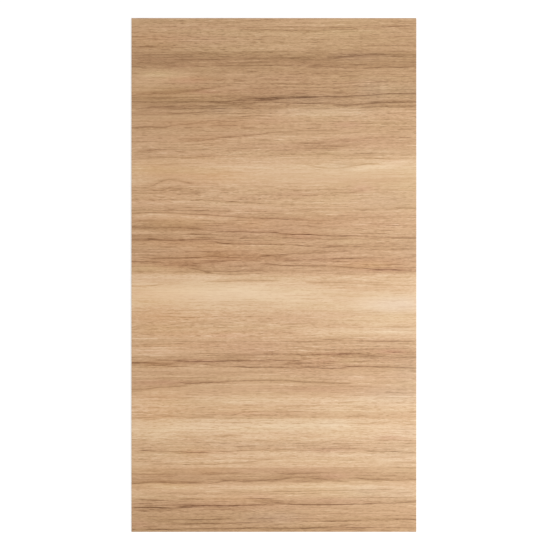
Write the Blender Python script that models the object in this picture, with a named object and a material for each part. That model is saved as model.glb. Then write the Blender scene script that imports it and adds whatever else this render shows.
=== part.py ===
"""SPC wall panel: one rigid sheet of stone-plastic composite with a wood decor face.

Run it with blender --background --python part.py, or from Blender's text editor.
Lengths are in metres and +Z is up. The sheet lies on its back with the decor face up.
The origin is the middle of the back face. +X runs across the panel, along the printed
grain, +Y runs up the wall once the panel hangs, and +Z leaves the decor face.
"""

import bmesh
import bpy

# The sheet as it is sold
PANEL_WIDTH = 1.220
PANEL_HEIGHT = 2.200
PANEL_THICKNESS = 0.004

# What the saw and the edge trimmer leave on a factory-cut edge
CORNER_CHAMFER = 0.0005
FACE_ARRIS_RADIUS = 0.0005
BACK_ARRIS_CHAMFER = 0.0004

# Flats in each eased edge: one makes a chamfer, more make a rounded arris
CHAMFER_SEGMENTS = 1
ARRIS_SEGMENTS = 4

# Colour of the print from a distance, in linear light, and its satin lacquer
DECOR_COLOUR = (0.545, 0.345, 0.190, 1.0)
DECOR_ROUGHNESS = 0.45

COLLECTION_NAME = "spc_wall_panel"
NODE_NAME = "wall_panel"

# How far a vertex may lie from a plane and still count as on it
PLANE_TOLERANCE = 1e-6


def clear_scene():
    """Remove every object, so that the file can be run again in the same session."""
    for old in list(bpy.data.objects):
        bpy.data.objects.remove(old)


def new_collection(name):
    collection = bpy.data.collections.new(name)
    bpy.context.scene.collection.children.link(collection)
    return collection


def decor_material():
    material = bpy.data.materials.new("wood_decor_satin")
    material.use_nodes = True
    surface = material.node_tree.nodes["Principled BSDF"]
    surface.inputs["Base Color"].default_value = DECOR_COLOUR
    surface.inputs["Roughness"].default_value = DECOR_ROUGHNESS
    surface.inputs["Metallic"].default_value = 0.0
    return material


def blank_sheet():
    """The sawn blank: a box of the sheet's size, standing on its back face at z = 0."""
    sheet = bmesh.new()
    bmesh.ops.create_cube(sheet, size=1.0)
    bmesh.ops.scale(sheet, verts=sheet.verts, vec=(PANEL_WIDTH, PANEL_HEIGHT, PANEL_THICKNESS))
    bmesh.ops.translate(sheet, verts=sheet.verts, vec=(0.0, 0.0, PANEL_THICKNESS / 2))
    return sheet


def upright_edges(sheet):
    """The edges that run through the thickness, one at each corner of the blank."""
    return [
        edge
        for edge in sheet.edges
        if abs(edge.verts[0].co.z - edge.verts[1].co.z) > PLANE_TOLERANCE
    ]


def rim_edges(sheet, height):
    """The closed ring of edges where the side walls meet the face at this height."""
    return [
        edge
        for edge in sheet.edges
        if all(abs(vertex.co.z - height) < PLANE_TOLERANCE for vertex in edge.verts)
    ]


def ease_edges(sheet, edges, width, segments):
    """Round the edges over, or chamfer them where there is one segment."""
    bmesh.ops.bevel(
        sheet,
        geom=edges,
        offset=width,
        offset_type="OFFSET",
        segments=segments,
        profile=0.5,
        affect="EDGES",
        clamp_overlap=True,
    )


def wall_panel(collection):
    sheet = blank_sheet()
    ease_edges(sheet, upright_edges(sheet), CORNER_CHAMFER, CHAMFER_SEGMENTS)
    ease_edges(sheet, rim_edges(sheet, PANEL_THICKNESS), FACE_ARRIS_RADIUS, ARRIS_SEGMENTS)
    ease_edges(sheet, rim_edges(sheet, 0.0), BACK_ARRIS_CHAMFER, CHAMFER_SEGMENTS)

    mesh = bpy.data.meshes.new(NODE_NAME)
    sheet.to_mesh(mesh)
    sheet.free()
    mesh.materials.append(decor_material())
    panel = bpy.data.objects.new(NODE_NAME, mesh)
    collection.objects.link(panel)
    return panel


def main():
    clear_scene()
    wall_panel(new_collection(COLLECTION_NAME))


main()
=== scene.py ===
"""SPC wall panel: the printed wood face with its pressed grain, the sawn core and the back.

Run it as a script in Blender 4.5. It is laid out as an add-on: the sizes and colours are
properties of the scene, one operator models the sheet and one sets up the stage, and a
panel in the 3D view's sidebar lists them. Lengths are in metres unless a name says
otherwise. The sheet lies on its back, with its print facing up and its top edge at +Y.
"""

import math
from collections import namedtuple

import bmesh
import bpy
import numpy as np
from bpy.props import FloatProperty, FloatVectorProperty, IntProperty, PointerProperty
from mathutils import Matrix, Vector


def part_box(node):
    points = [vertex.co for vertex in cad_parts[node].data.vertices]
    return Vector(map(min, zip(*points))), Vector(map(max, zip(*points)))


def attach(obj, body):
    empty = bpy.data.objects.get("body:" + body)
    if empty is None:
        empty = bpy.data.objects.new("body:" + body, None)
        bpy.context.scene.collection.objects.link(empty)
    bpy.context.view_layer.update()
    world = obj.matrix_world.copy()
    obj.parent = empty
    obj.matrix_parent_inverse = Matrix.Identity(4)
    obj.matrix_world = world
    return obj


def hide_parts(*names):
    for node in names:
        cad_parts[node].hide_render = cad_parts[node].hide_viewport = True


bl_info = {
    "name": "SPC Wall Panel",
    "version": (1, 0, 0),
    "blender": (4, 5, 0),
    "location": "View3D > Sidebar > Wall Panel",
    "description": "Models a wood print SPC wall panel and the studio that it lies in",
    "category": "Add Mesh",
}

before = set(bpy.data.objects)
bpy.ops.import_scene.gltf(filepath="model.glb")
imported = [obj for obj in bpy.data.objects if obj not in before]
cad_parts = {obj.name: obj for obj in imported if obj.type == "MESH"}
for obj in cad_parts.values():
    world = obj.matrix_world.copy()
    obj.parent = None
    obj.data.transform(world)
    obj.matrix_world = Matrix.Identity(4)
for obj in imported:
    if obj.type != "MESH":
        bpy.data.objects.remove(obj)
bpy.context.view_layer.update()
SHEET_LOW, SHEET_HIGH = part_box("wall_panel")
SHEET_SIZE = SHEET_HIGH - SHEET_LOW

MM = 0.001

# How near a plane a vertex lies to count as on it
ON_PLANE = 1e-6


def table(kind, *rows):
    """The rows of a table, each made a band, a patch, a ring or a streak."""
    return tuple(kind(*row) for row in rows)


# The figure of the print. Every place on it is a tape's reading in millimetres: along
# the grain from the sheet's left edge, and down from its top edge. Each table runs from
# the top of the sheet down.

# Growth bands: where each ends, how light its wood is, from 0, a dark vein, to 1, the
# palest sapwood, and over what height it passes into the next
Band = namedtuple("Band", "bottom light soft")
BANDS = table(
    Band,
    (144, 0.67, 34), (207, 0.53, 14), (305, 0.62, 30), (386, 0.59, 24), (594, 0.71, 12),
    (720, 0.82, 30), (831, 0.76, 30), (925, 0.69, 30), (1094, 0.66, 16), (1130, 0.83, 24),
    (1240, 0.90, 40), (1375, 0.81, 30), (1434, 0.73, 20), (1489, 0.67, 16), (1613, 0.73, 10),
    (1686, 0.80, 20), (1715, 0.77, 20), (1805, 0.86, 24), (1850, 0.76, 20), (1925, 0.82, 20),
    (1985, 0.67, 10), (2058, 0.78, 20), (2101, 0.68, 20), (2200, 0.64, 20),
)

# Soft patches that lighten or darken the wood, each with its half length and half height
Patch = namedtuple("Patch", "along down reach spread change")
PATCHES = table(
    Patch,
    # 0 to 200 mm down
    (900, 8, 90, 10, 0.06), (720, 30, 160, 14, 0.04), (760, 35, 160, 10, 0.07),
    (700, 100, 110, 6, 0.07), (1130, 115, 200, 12, -0.08), (150, 118, 250, 16, -0.04),
    (100, 133, 160, 8, -0.05), (870, 140, 130, 10, -0.05), (960, 160, 110, 12, -0.06),
    (1100, 172, 160, 12, 0.05), (100, 178, 260, 22, -0.05), (450, 190, 260, 6, 0.05),
    # 200 to 400 mm down
    (840, 245, 200, 22, -0.06), (140, 246, 140, 26, 0.10), (850, 250, 110, 10, 0.05),
    (80, 255, 60, 12, 0.05), (640, 282, 180, 10, -0.05), (30, 285, 90, 36, 0.09),
    (50, 312, 70, 8, 0.08), (325, 314, 40, 7, 0.08), (660, 330, 60, 6, -0.06),
    (620, 345, 200, 14, -0.06), (740, 345, 60, 8, 0.08), (830, 372, 110, 5, 0.06),
    (160, 385, 260, 26, -0.05),
    # 400 to 600 mm down
    (160, 415, 200, 14, -0.04), (330, 470, 260, 28, -0.05), (80, 490, 150, 8, -0.04),
    (700, 510, 200, 24, 0.03), (80, 550, 160, 20, 0.05),
    # 600 to 800 mm down
    (1140, 608, 100, 8, -0.05), (1100, 640, 200, 34, 0.03), (150, 640, 240, 60, -0.05),
    (80, 650, 110, 24, 0.04), (220, 660, 150, 30, -0.03), (270, 780, 70, 8, 0.04),
    (300, 785, 80, 14, 0.05),
    # 800 to 1000 mm down
    (150, 835, 250, 12, -0.03), (340, 840, 40, 8, -0.06), (100, 850, 160, 14, 0.06),
    (80, 865, 90, 16, -0.07), (940, 868, 90, 9, -0.06), (820, 875, 80, 12, -0.05),
    (80, 876, 170, 9, -0.09), (1100, 882, 120, 6, 0.08), (150, 920, 50, 16, -0.07),
    (120, 930, 330, 60, -0.03), (60, 935, 60, 9, -0.07), (20, 936, 60, 6, -0.06),
    (1080, 940, 340, 110, 0.04), (450, 952, 130, 9, 0.06), (700, 970, 40, 10, 0.07),
    (1000, 980, 100, 6, -0.05), (970, 980, 110, 6, -0.06),
    # 1000 to 1200 mm down
    (120, 1002, 150, 8, -0.05), (580, 1006, 100, 8, 0.05), (870, 1015, 110, 10, 0.06),
    (700, 1027, 100, 9, -0.06), (680, 1035, 80, 9, -0.06), (830, 1035, 50, 8, -0.06),
    (335, 1040, 50, 7, 0.06), (240, 1052, 110, 12, -0.08), (60, 1068, 110, 14, 0.08),
    (330, 1068, 40, 8, -0.06), (560, 1076, 50, 7, -0.05), (500, 1090, 80, 7, 0.06),
    (480, 1090, 100, 7, 0.07), (200, 1105, 300, 12, -0.02), (360, 1130, 150, 7, 0.06),
    (970, 1135, 30, 14, 0.05), (90, 1146, 40, 8, 0.07), (1000, 1150, 260, 30, -0.05),
    (640, 1172, 60, 8, -0.05), (330, 1178, 380, 24, 0.05),
    # 1200 to 1400 mm down
    (1130, 1212, 130, 12, -0.05), (1150, 1252, 150, 9, 0.05), (330, 1262, 120, 26, 0.035),
    (390, 1280, 60, 10, 0.045), (1100, 1285, 200, 26, 0.02), (1060, 1290, 300, 60, 0.03),
    (130, 1310, 380, 34, -0.06), (180, 1312, 90, 10, 0.04), (680, 1345, 60, 9, -0.06),
    (580, 1348, 110, 14, -0.04), (500, 1370, 600, 5, -0.03), (820, 1378, 110, 7, -0.04),
    (900, 1380, 50, 8, -0.06),
    # 1400 to 1600 mm down
    (110, 1425, 160, 12, 0.08), (1160, 1425, 90, 10, -0.05), (270, 1430, 80, 12, 0.05),
    (735, 1430, 40, 22, 0.06), (70, 1444, 130, 7, 0.07), (1150, 1456, 110, 7, 0.05),
    (800, 1462, 120, 20, -0.04), (490, 1466, 50, 8, -0.06), (870, 1472, 50, 9, -0.05),
    (250, 1478, 30, 8, -0.07), (0, 1482, 40, 10, -0.08), (430, 1500, 200, 6, 0.04),
    (0, 1545, 60, 14, -0.07), (1020, 1545, 120, 18, 0.04), (690, 1570, 50, 12, 0.07),
    (130, 1572, 220, 18, -0.03),
    # 1600 to 1800 mm down
    (120, 1600, 260, 10, 0.06), (480, 1642, 60, 9, 0.05), (1030, 1642, 60, 8, 0.06),
    (500, 1650, 120, 10, 0.05), (950, 1660, 340, 40, 0.06), (60, 1665, 110, 40, 0.05),
    (490, 1692, 50, 8, 0.05), (1180, 1728, 80, 14, -0.06), (770, 1732, 50, 8, -0.05),
    (120, 1748, 50, 12, -0.06), (460, 1750, 70, 12, 0.07), (110, 1755, 160, 26, 0.07),
    # 1800 to 2000 mm down
    (150, 1815, 200, 14, 0.03), (690, 1822, 60, 8, 0.07), (870, 1840, 90, 10, -0.04),
    (1090, 1858, 80, 7, 0.06), (20, 1860, 60, 10, -0.06), (345, 1862, 50, 9, -0.06),
    (1000, 1880, 300, 18, 0.06), (1120, 1885, 130, 14, -0.05), (0, 1895, 50, 16, -0.07),
    (1120, 1936, 180, 10, 0.09), (50, 1945, 60, 12, 0.08), (50, 1945, 60, 14, 0.04),
    (160, 1958, 260, 18, -0.02), (770, 1960, 60, 10, 0.06), (330, 1968, 120, 8, -0.05),
    (730, 1975, 130, 20, -0.05), (280, 1990, 110, 12, -0.07), (560, 1992, 90, 7, -0.05),
    # 2000 to 2200 mm down
    (1190, 2008, 70, 10, -0.06), (1000, 2010, 320, 18, 0.02), (430, 2038, 50, 10, -0.06),
    (1000, 2045, 120, 8, -0.05), (570, 2050, 50, 8, 0.05), (1160, 2065, 80, 10, -0.05),
    (1050, 2080, 260, 20, 0.07), (330, 2110, 260, 30, -0.05), (1000, 2120, 320, 50, 0.04),
    (400, 2140, 80, 8, -0.05), (110, 2155, 260, 22, -0.04),
)

# Dark growth rings and veins: thickness in millimetres, darkness from 0 to 1, and the
# points that each passes
Ring = namedtuple("Ring", "thick dark path")
RINGS = table(
    Ring,
    # 0 to 200 mm down
    (5, 0.32, ((1040, 41), (1090, 38), (1150, 35), (1220, 33))),
    (5, 0.25, ((480, 40), (620, 38), (770, 38), (800, 42), (860, 40), (960, 42))),
    (5, 0.38, ((470, 50), (600, 51), (760, 55), (830, 53), (885, 50), (966, 51))),
    (4, 0.20, ((72, 77), (150, 75))),
    (5, 0.28, ((0, 80), (60, 80))),
    (4, 0.25, ((980, 88), (1220, 89))),
    (5, 0.36, ((0, 123), (143, 122), (190, 118))),
    (4, 0.25, ((760, 141), (812, 140))),
    (4, 0.26, ((590, 144), (705, 145))),
    (5, 0.28, ((270, 153), (370, 151))),
    (5, 0.34, ((1040, 154), (1110, 157), (1220, 157))),
    (4, 0.30, ((60, 157), (260, 158))),
    (6, 0.34, ((860, 165), (950, 164), (1010, 156), (1080, 153))),
    (6, 0.26, ((480, 176), (560, 172), (690, 172), (765, 177), (830, 178), (905, 171))),
    (5, 0.35, ((200, 178), (260, 178), (400, 178))),
    (4, 0.25, ((60, 196), (200, 196))),
    # 200 to 400 mm down
    (4, 0.28, ((360, 202), (450, 204), (560, 203), (680, 205))),
    (4, 0.32, ((740, 210), (820, 208), (880, 206), (905, 200))),
    (5, 0.36, ((265, 208), (315, 208))),
    (5, 0.32, ((0, 208), (60, 209))),
    (5, 0.34, ((150, 208), (235, 209))),
    (5, 0.28, ((1000, 212), (1130, 211), (1220, 206))),
    (4, 0.25, ((40, 234), (160, 233))),
    (4, 0.25, ((255, 240), (275, 247), (320, 252))),
    (4, 0.24, ((925, 278), (950, 275), (1060, 277))),
    (4, 0.24, ((600, 281), (700, 283), (845, 283))),
    (4, 0.30, ((560, 300), (870, 297), (960, 295), (1050, 291))),
    (5, 0.22, ((200, 313), (270, 310), (330, 302), (390, 292), (430, 286))),
    (5, 0.15, ((190, 320), (240, 316), (290, 311))),
    (5, 0.55, ((1050, 328), (1110, 323), (1160, 324), (1220, 324))),
    (5, 0.30, ((0, 333), (60, 326), (100, 324), (180, 322))),
    (5, 0.70, ((690, 338), (790, 337), (880, 337), (960, 333), (1030, 331), (1060, 327))),
    (7, 0.22, ((60, 340), (330, 341))),
    (6, 0.42, ((440, 353), (470, 347), (530, 345), (580, 345), (610, 340), (700, 337))),
    (5, 0.52, ((540, 352), (600, 349), (660, 344), (720, 341), (790, 338))),
    (5, 0.45, ((330, 358), (400, 358), (440, 354), (500, 353), (560, 350), (620, 348))),
    (4, 0.50, ((0, 358), (60, 359), (200, 359), (330, 358), (430, 358))),
    (6, 0.30, ((1030, 363), (1100, 362), (1160, 362), (1220, 364))),
    (5, 0.40, ((650, 368), (700, 366), (870, 367), (895, 370))),
    (5, 0.35, ((440, 371), (490, 367), (530, 366))),
    (6, 0.45, ((890, 371), (940, 372), (980, 370), (1060, 363))),
    (6, 0.28, ((280, 380), (345, 377), (410, 374), (450, 371))),
    (6, 0.32, ((980, 384), (1040, 379), (1130, 377), (1220, 377))),
    (6, 0.36, ((60, 384), (100, 380), (190, 380), (240, 383))),
    (5, 0.30, ((590, 386), (640, 383))),
    (6, 0.25, ((150, 388), (270, 388), (330, 385), (360, 380))),
    (5, 0.32, ((30, 397), (85, 397))),
    (4, 0.30, ((300, 401), (420, 398))),
    # 400 to 600 mm down
    (5, 0.35, ((150, 409), (200, 408), (290, 405), (310, 402))),
    (4, 0.35, ((665, 409), (695, 410))),
    (4, 0.34, ((430, 428), (450, 425), (500, 419), (530, 417), (600, 420))),
    (4, 0.28, ((400, 443), (440, 443), (470, 439), (500, 440))),
    (4, 0.35, ((210, 457), (260, 452), (310, 442), (340, 439), (400, 440))),
    (4, 0.30, ((335, 462), (400, 461), (460, 461))),
    (5, 0.25, ((95, 469), (130, 468), (160, 463), (195, 459))),
    (5, 0.38, ((0, 469), (40, 466), (95, 465))),
    (4, 0.25, ((1040, 484), (1120, 475), (1220, 473))),
    (4, 0.38, ((700, 483), (760, 482), (885, 482))),
    (4, 0.30, ((505, 502), (560, 497), (590, 490), (650, 487), (700, 487))),
    (5, 0.40, ((370, 513), (395, 511), (440, 508), (465, 505), (510, 502))),
    (5, 0.38, ((320, 522), (340, 518), (365, 517))),
    (4, 0.28, ((770, 530), (850, 527), (900, 524), (1000, 516), (1080, 516))),
    (4, 0.34, ((0, 529), (122, 529))),
    (4, 0.28, ((122, 532), (210, 530), (300, 525))),
    (5, 0.40, ((728, 536), (800, 538), (825, 535))),
    (4, 0.28, ((682, 538), (720, 537))),
    (4, 0.22, ((740, 548), (830, 546), (870, 547))),
    (4, 0.18, ((735, 557), (800, 560), (870, 559))),
    (4, 0.35, ((250, 564), (330, 562))),
    (4, 0.40, ((60, 565), (120, 563), (190, 564))),
    (4, 0.30, ((190, 571), (215, 572), (245, 577))),
    (4, 0.38, ((30, 577), (120, 576))),
    (4, 0.35, ((985, 581), (1020, 579), (1040, 576), (1060, 579))),
    (4, 0.25, ((770, 574), (800, 581), (840, 583))),
    (4, 0.25, ((880, 593), (940, 590), (980, 588))),
    (4, 0.25, ((270, 595), (340, 590), (400, 589))),
    (4, 0.25, ((40, 601), (90, 598), (260, 597))),
    # 600 to 800 mm down
    (4, 0.25, ((1000, 601), (1220, 602))),
    (6, 0.28, ((930, 636), (1000, 625), (1060, 620))),
    (5, 0.28, ((110, 628), (200, 629))),
    (4, 0.30, ((740, 627), (770, 632), (800, 639), (840, 643), (890, 642), (935, 638))),
    (5, 0.26, ((190, 697), (215, 697), (235, 703), (250, 707))),
    (5, 0.30, ((0, 726), (70, 726), (95, 717), (115, 703), (140, 695), (160, 689), (190, 690))),
    (5, 0.30, ((70, 730), (90, 738), (130, 739), (155, 727), (195, 720))),
    (4, 0.20, ((965, 739), (1000, 738))),
    (4, 0.30, ((0, 740), (40, 742))),
    (4, 0.20, ((870, 747), (935, 746), (975, 741))),
    (4, 0.32, ((0, 751), (60, 752), (95, 752), (130, 750), (155, 742), (180, 735), (225, 737))),
    (4, 0.24, ((0, 775), (120, 776), (230, 778), (320, 776), (345, 782), (400, 784))),
    (4, 0.34, ((400, 786), (470, 790), (520, 790), (560, 794), (610, 794))),
    # 800 to 1000 mm down
    (6, 0.32, ((1130, 813), (1170, 813), (1220, 815))),
    (5, 0.28, ((148, 821), (190, 817))),
    (4, 0.28, ((1085, 820), (1125, 819))),
    (4, 0.30, ((250, 827), (320, 824))),
    (5, 0.36, ((0, 838), (60, 833), (150, 832), (200, 836), (240, 839))),
    (4, 0.28, ((500, 842), (560, 838), (600, 836), (670, 841))),
    (5, 0.40, ((230, 839), (280, 841), (330, 843), (400, 851), (450, 850))),
    (4, 0.30, ((1050, 851), (1095, 849))),
    (5, 0.36, ((450, 855), (500, 854))),
    (6, 0.38, ((520, 853), (555, 858), (620, 858))),
    (5, 0.38, ((620, 857), (660, 862), (700, 860), (740, 863))),
    (5, 0.32, ((1085, 867), (1120, 866))),
    (5, 0.30, ((265, 880), (400, 879), (460, 876))),
    (4, 0.34, ((1020, 885), (1080, 883))),
    (4, 0.30, ((1080, 886), (1120, 888), (1220, 888))),
    (5, 0.36, ((735, 888), (765, 890), (785, 894))),
    (4, 0.25, ((775, 897), (870, 898))),
    (5, 0.60, ((0, 898), (120, 898), (220, 898))),
    (6, 0.36, ((225, 899), (300, 902))),
    (5, 0.40, ((280, 904), (330, 910), (380, 913))),
    (4, 0.28, ((1055, 910), (1115, 909))),
    (4, 0.65, ((370, 914), (430, 914), (480, 915), (520, 917), (620, 917))),
    (5, 0.60, ((600, 918), (640, 922), (700, 926), (760, 926))),
    (6, 0.55, ((740, 926), (830, 932), (900, 933), (960, 931))),
    (5, 0.45, ((960, 933), (1070, 937), (1130, 940), (1220, 940))),
    (5, 0.38, ((640, 938), (670, 940), (720, 945), (780, 946))),
    (5, 0.30, ((430, 950), (460, 943), (490, 940))),
    (4, 0.30, ((780, 943), (860, 948), (920, 946))),
    (5, 0.48, ((0, 947), (50, 947), (75, 944), (110, 946))),
    (6, 0.55, ((210, 950), (330, 948))),
    (5, 0.50, ((320, 948), (380, 949), (440, 951))),
    (6, 0.50, ((70, 948), (150, 949), (180, 951), (220, 950))),
    (5, 0.40, ((330, 956), (365, 960), (400, 966), (430, 967))),
    (5, 0.45, ((400, 966), (470, 968), (530, 968), (620, 970))),
    (4, 0.30, ((1110, 969), (1150, 969))),
    (5, 0.42, ((830, 976), (900, 973), (950, 969), (1010, 968))),
    (4, 0.28, ((1160, 972), (1220, 974))),
    (5, 0.42, ((620, 970), (700, 970), (740, 976), (760, 978), (780, 979))),
    (6, 0.48, ((800, 981), (840, 981), (870, 977), (915, 977))),
    (4, 0.35, ((1000, 992), (1100, 992), (1160, 990), (1220, 992))),
    # 1000 to 1200 mm down
    (5, 0.45, ((290, 999), (350, 1001), (375, 1003))),
    (5, 0.38, ((640, 1013), (700, 1007), (770, 1007), (840, 1000), (900, 997), (940, 998))),
    (5, 0.30, ((560, 1017), (600, 1014), (645, 1013))),
    (5, 0.45, ((315, 1021), (370, 1020))),
    (5, 0.28, ((480, 1027), (540, 1024), (570, 1019), (600, 1016))),
    (4, 0.35, ((370, 1021), (410, 1025), (470, 1027))),
    (4, 0.28, ((1140, 1030), (1180, 1025), (1220, 1021))),
    (6, 0.50, ((90, 1030), (160, 1027), (230, 1027), (300, 1025))),
    (5, 0.28, ((855, 1030), (910, 1030), (960, 1028))),
    (5, 0.35, ((300, 1038), (400, 1040), (440, 1037))),
    (6, 0.50, ((0, 1043), (60, 1043), (110, 1044), (130, 1048))),
    (5, 0.35, ((270, 1050), (330, 1048), (370, 1045))),
    (5, 0.48, ((560, 1052), (585, 1051), (610, 1056), (680, 1060))),
    (6, 0.50, ((215, 1058), (245, 1056), (285, 1060))),
    (5, 0.45, ((660, 1060), (750, 1060), (800, 1064))),
    (5, 0.35, ((400, 1064), (450, 1062), (500, 1059))),
    (5, 0.42, ((770, 1060), (850, 1061), (905, 1065), (950, 1068))),
    (5, 0.50, ((940, 1068), (1000, 1072), (1020, 1074))),
    (6, 0.35, ((1000, 1073), (1035, 1074), (1060, 1078))),
    (6, 0.42, ((1040, 1077), (1110, 1076), (1150, 1079))),
    (7, 0.45, ((255, 1072), (285, 1075), (310, 1084), (335, 1091))),
    (5, 0.45, ((1130, 1080), (1180, 1082), (1220, 1086))),
    (5, 0.32, ((410, 1086), (470, 1084), (560, 1082))),
    (4, 0.25, ((860, 1095), (985, 1094))),
    (5, 0.35, ((320, 1091), (370, 1096), (430, 1098), (510, 1097))),
    (4, 0.32, ((325, 1129), (360, 1128), (420, 1129), (440, 1125), (620, 1124))),
    (4, 0.30, ((740, 1132), (850, 1133), (920, 1131))),
    (4, 0.25, ((930, 1136), (1000, 1139), (1080, 1142), (1220, 1146))),
    (4, 0.35, ((70, 1146), (100, 1145), (125, 1140))),
    (4, 0.24, ((0, 1149), (70, 1148))),
    # 1200 to 1400 mm down
    (4, 0.26, ((1080, 1321), (1190, 1323))),
    (4, 0.36, ((40, 1355), (85, 1354))),
    (6, 0.28, ((835, 1376), (880, 1378), (900, 1380))),
    (5, 0.28, ((760, 1383), (800, 1378), (850, 1377))),
    (6, 0.60, ((960, 1382), (1000, 1383), (1050, 1384), (1120, 1384))),
    (4, 0.30, ((190, 1384), (235, 1384))),
    (5, 0.42, ((1110, 1385), (1190, 1385), (1220, 1382))),
    (5, 0.30, ((700, 1389), (760, 1388), (780, 1385))),
    (4, 0.25, ((290, 1389), (375, 1388))),
    (4, 0.30, ((190, 1393), (235, 1392))),
    (4, 0.28, ((0, 1401), (80, 1398))),
    # 1400 to 1600 mm down
    (4, 0.35, ((690, 1415), (740, 1413), (790, 1415))),
    (4, 0.34, ((940, 1422), (1000, 1418), (1040, 1415), (1140, 1414), (1220, 1414))),
    (4, 0.35, ((790, 1419), (840, 1420), (900, 1418), (960, 1418))),
    (5, 0.50, ((1120, 1431), (1160, 1431))),
    (5, 0.28, ((250, 1440), (330, 1436), (440, 1436))),
    (5, 0.38, ((900, 1438), (950, 1436), (1020, 1436), (1070, 1438), (1100, 1441))),
    (4, 0.44, ((600, 1438), (700, 1439))),
    (6, 0.45, ((690, 1439), (790, 1440), (850, 1439), (900, 1438))),
    (5, 0.42, ((440, 1441), (490, 1439), (620, 1438))),
    (6, 0.40, ((880, 1438), (960, 1438), (1000, 1442), (1050, 1446))),
    (5, 0.40, ((985, 1449), (1010, 1448))),
    (5, 0.28, ((1000, 1452), (1060, 1451), (1120, 1454), (1220, 1453))),
    (6, 0.40, ((590, 1462), (640, 1467), (700, 1466), (735, 1463))),
    (5, 0.50, ((380, 1468), (440, 1466), (530, 1466), (600, 1463))),
    (6, 0.42, ((100, 1466), (160, 1467), (230, 1468))),
    (6, 0.52, ((190, 1468), (250, 1470), (300, 1470))),
    (6, 0.55, ((280, 1470), (330, 1470), (390, 1469))),
    (5, 0.62, ((0, 1476), (50, 1476), (100, 1476))),
    (5, 0.50, ((820, 1478), (862, 1479))),
    (6, 0.42, ((640, 1481), (720, 1478), (780, 1477))),
    (5, 0.40, ((80, 1480), (180, 1480))),
    (5, 0.45, ((50, 1489), (110, 1487), (160, 1487))),
    (5, 0.50, ((160, 1490), (200, 1492), (240, 1491))),
    (5, 0.35, ((320, 1489), (400, 1491), (450, 1493))),
    (5, 0.45, ((900, 1497), (940, 1493), (1010, 1491), (1040, 1494))),
    (5, 0.52, ((440, 1492), (480, 1494), (520, 1497), (580, 1496), (640, 1496))),
    (5, 0.52, ((1040, 1495), (1120, 1495), (1220, 1497))),
    (5, 0.66, ((630, 1496), (720, 1495), (800, 1497), (860, 1500), (910, 1497))),
    (4, 0.24, ((400, 1517), (480, 1516), (620, 1516))),
    (5, 0.42, ((390, 1556), (450, 1554), (520, 1551), (620, 1551))),
    (6, 0.42, ((610, 1551), (680, 1552), (740, 1558))),
    (5, 0.30, ((185, 1563), (220, 1560), (250, 1558))),
    (5, 0.36, ((730, 1558), (790, 1558), (850, 1562), (940, 1565))),
    (5, 0.45, ((230, 1565), (290, 1562), (340, 1560), (400, 1560))),
    (5, 0.35, ((110, 1582), (180, 1579), (230, 1573))),
    (6, 0.25, ((0, 1591), (50, 1591), (80, 1585), (120, 1581))),
    # 1600 to 1800 mm down
    (5, 0.24, ((60, 1624), (120, 1622), (180, 1622), (255, 1624))),
    (4, 0.28, ((890, 1646), (935, 1645))),
    (4, 0.28, ((475, 1659), (530, 1659))),
    (4, 0.34, ((630, 1663), (700, 1661), (780, 1660), (810, 1656))),
    (4, 0.28, ((950, 1667), (1005, 1666))),
    (4, 0.35, ((0, 1667), (32, 1667))),
    (4, 0.34, ((78, 1667), (122, 1667))),
    (4, 0.28, ((290, 1667), (355, 1667))),
    (4, 0.28, ((520, 1684), (620, 1683), (740, 1683))),
    (4, 0.28, ((20, 1690), (50, 1688))),
    (4, 0.36, ((425, 1702), (445, 1699), (470, 1688), (530, 1684))),
    (5, 0.36, ((803, 1694), (825, 1694))),
    (5, 0.28, ((485, 1702), (550, 1701), (620, 1702))),
    (5, 0.28, ((650, 1705), (700, 1701))),
    (6, 0.28, ((920, 1706), (970, 1703), (1010, 1703))),
    (5, 0.30, ((120, 1705), (190, 1706), (250, 1709), (340, 1705))),
    (4, 0.32, ((0, 1714), (45, 1711), (100, 1709))),
    (4, 0.34, ((60, 1718), (110, 1717))),
    (4, 0.28, ((1025, 1731), (1110, 1731))),
    (4, 0.28, ((1175, 1740), (1215, 1739))),
    (5, 0.32, ((370, 1792), (410, 1787), (450, 1786))),
    # 1800 to 2000 mm down
    (4, 0.28, ((945, 1798), (990, 1803), (1030, 1805))),
    (4, 0.30, ((120, 1799), (145, 1803), (165, 1807))),
    (4, 0.28, ((30, 1808), (75, 1807))),
    (4, 0.32, ((245, 1808), (310, 1808))),
    (4, 0.28, ((1050, 1808), (1120, 1806), (1220, 1811))),
    (4, 0.30, ((885, 1829), (960, 1829))),
    (4, 0.36, ((440, 1834), (490, 1834), (530, 1831))),
    (5, 0.30, ((370, 1836), (385, 1840), (400, 1846))),
    (5, 0.36, ((600, 1850), (650, 1846), (690, 1849), (715, 1850))),
    (5, 0.40, ((380, 1856), (460, 1853), (540, 1849), (580, 1846))),
    (5, 0.45, ((30, 1854), (45, 1851), (75, 1850), (90, 1854))),
    (5, 0.36, ((730, 1854), (780, 1850), (830, 1855))),
    (5, 0.40, ((80, 1854), (120, 1855), (250, 1855))),
    (4, 0.42, ((1000, 1854), (1110, 1855), (1220, 1861))),
    (6, 0.50, ((240, 1861), (280, 1859), (330, 1858))),
    (4, 0.32, ((890, 1893), (970, 1893))),
    (4, 0.28, ((440, 1902), (500, 1902), (550, 1894), (620, 1888))),
    (4, 0.28, ((40, 1897), (122, 1897))),
    (4, 0.32, ((1140, 1900), (1180, 1902), (1220, 1900))),
    (4, 0.36, ((365, 1910), (400, 1906), (430, 1905))),
    (4, 0.38, ((90, 1911), (130, 1910), (195, 1909))),
    (4, 0.36, ((210, 1911), (290, 1910), (370, 1911))),
    (4, 0.28, ((1110, 1921), (1150, 1926))),
    (4, 0.28, ((30, 1940), (120, 1938))),
    (5, 0.35, ((300, 1950), (340, 1947), (465, 1948))),
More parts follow.
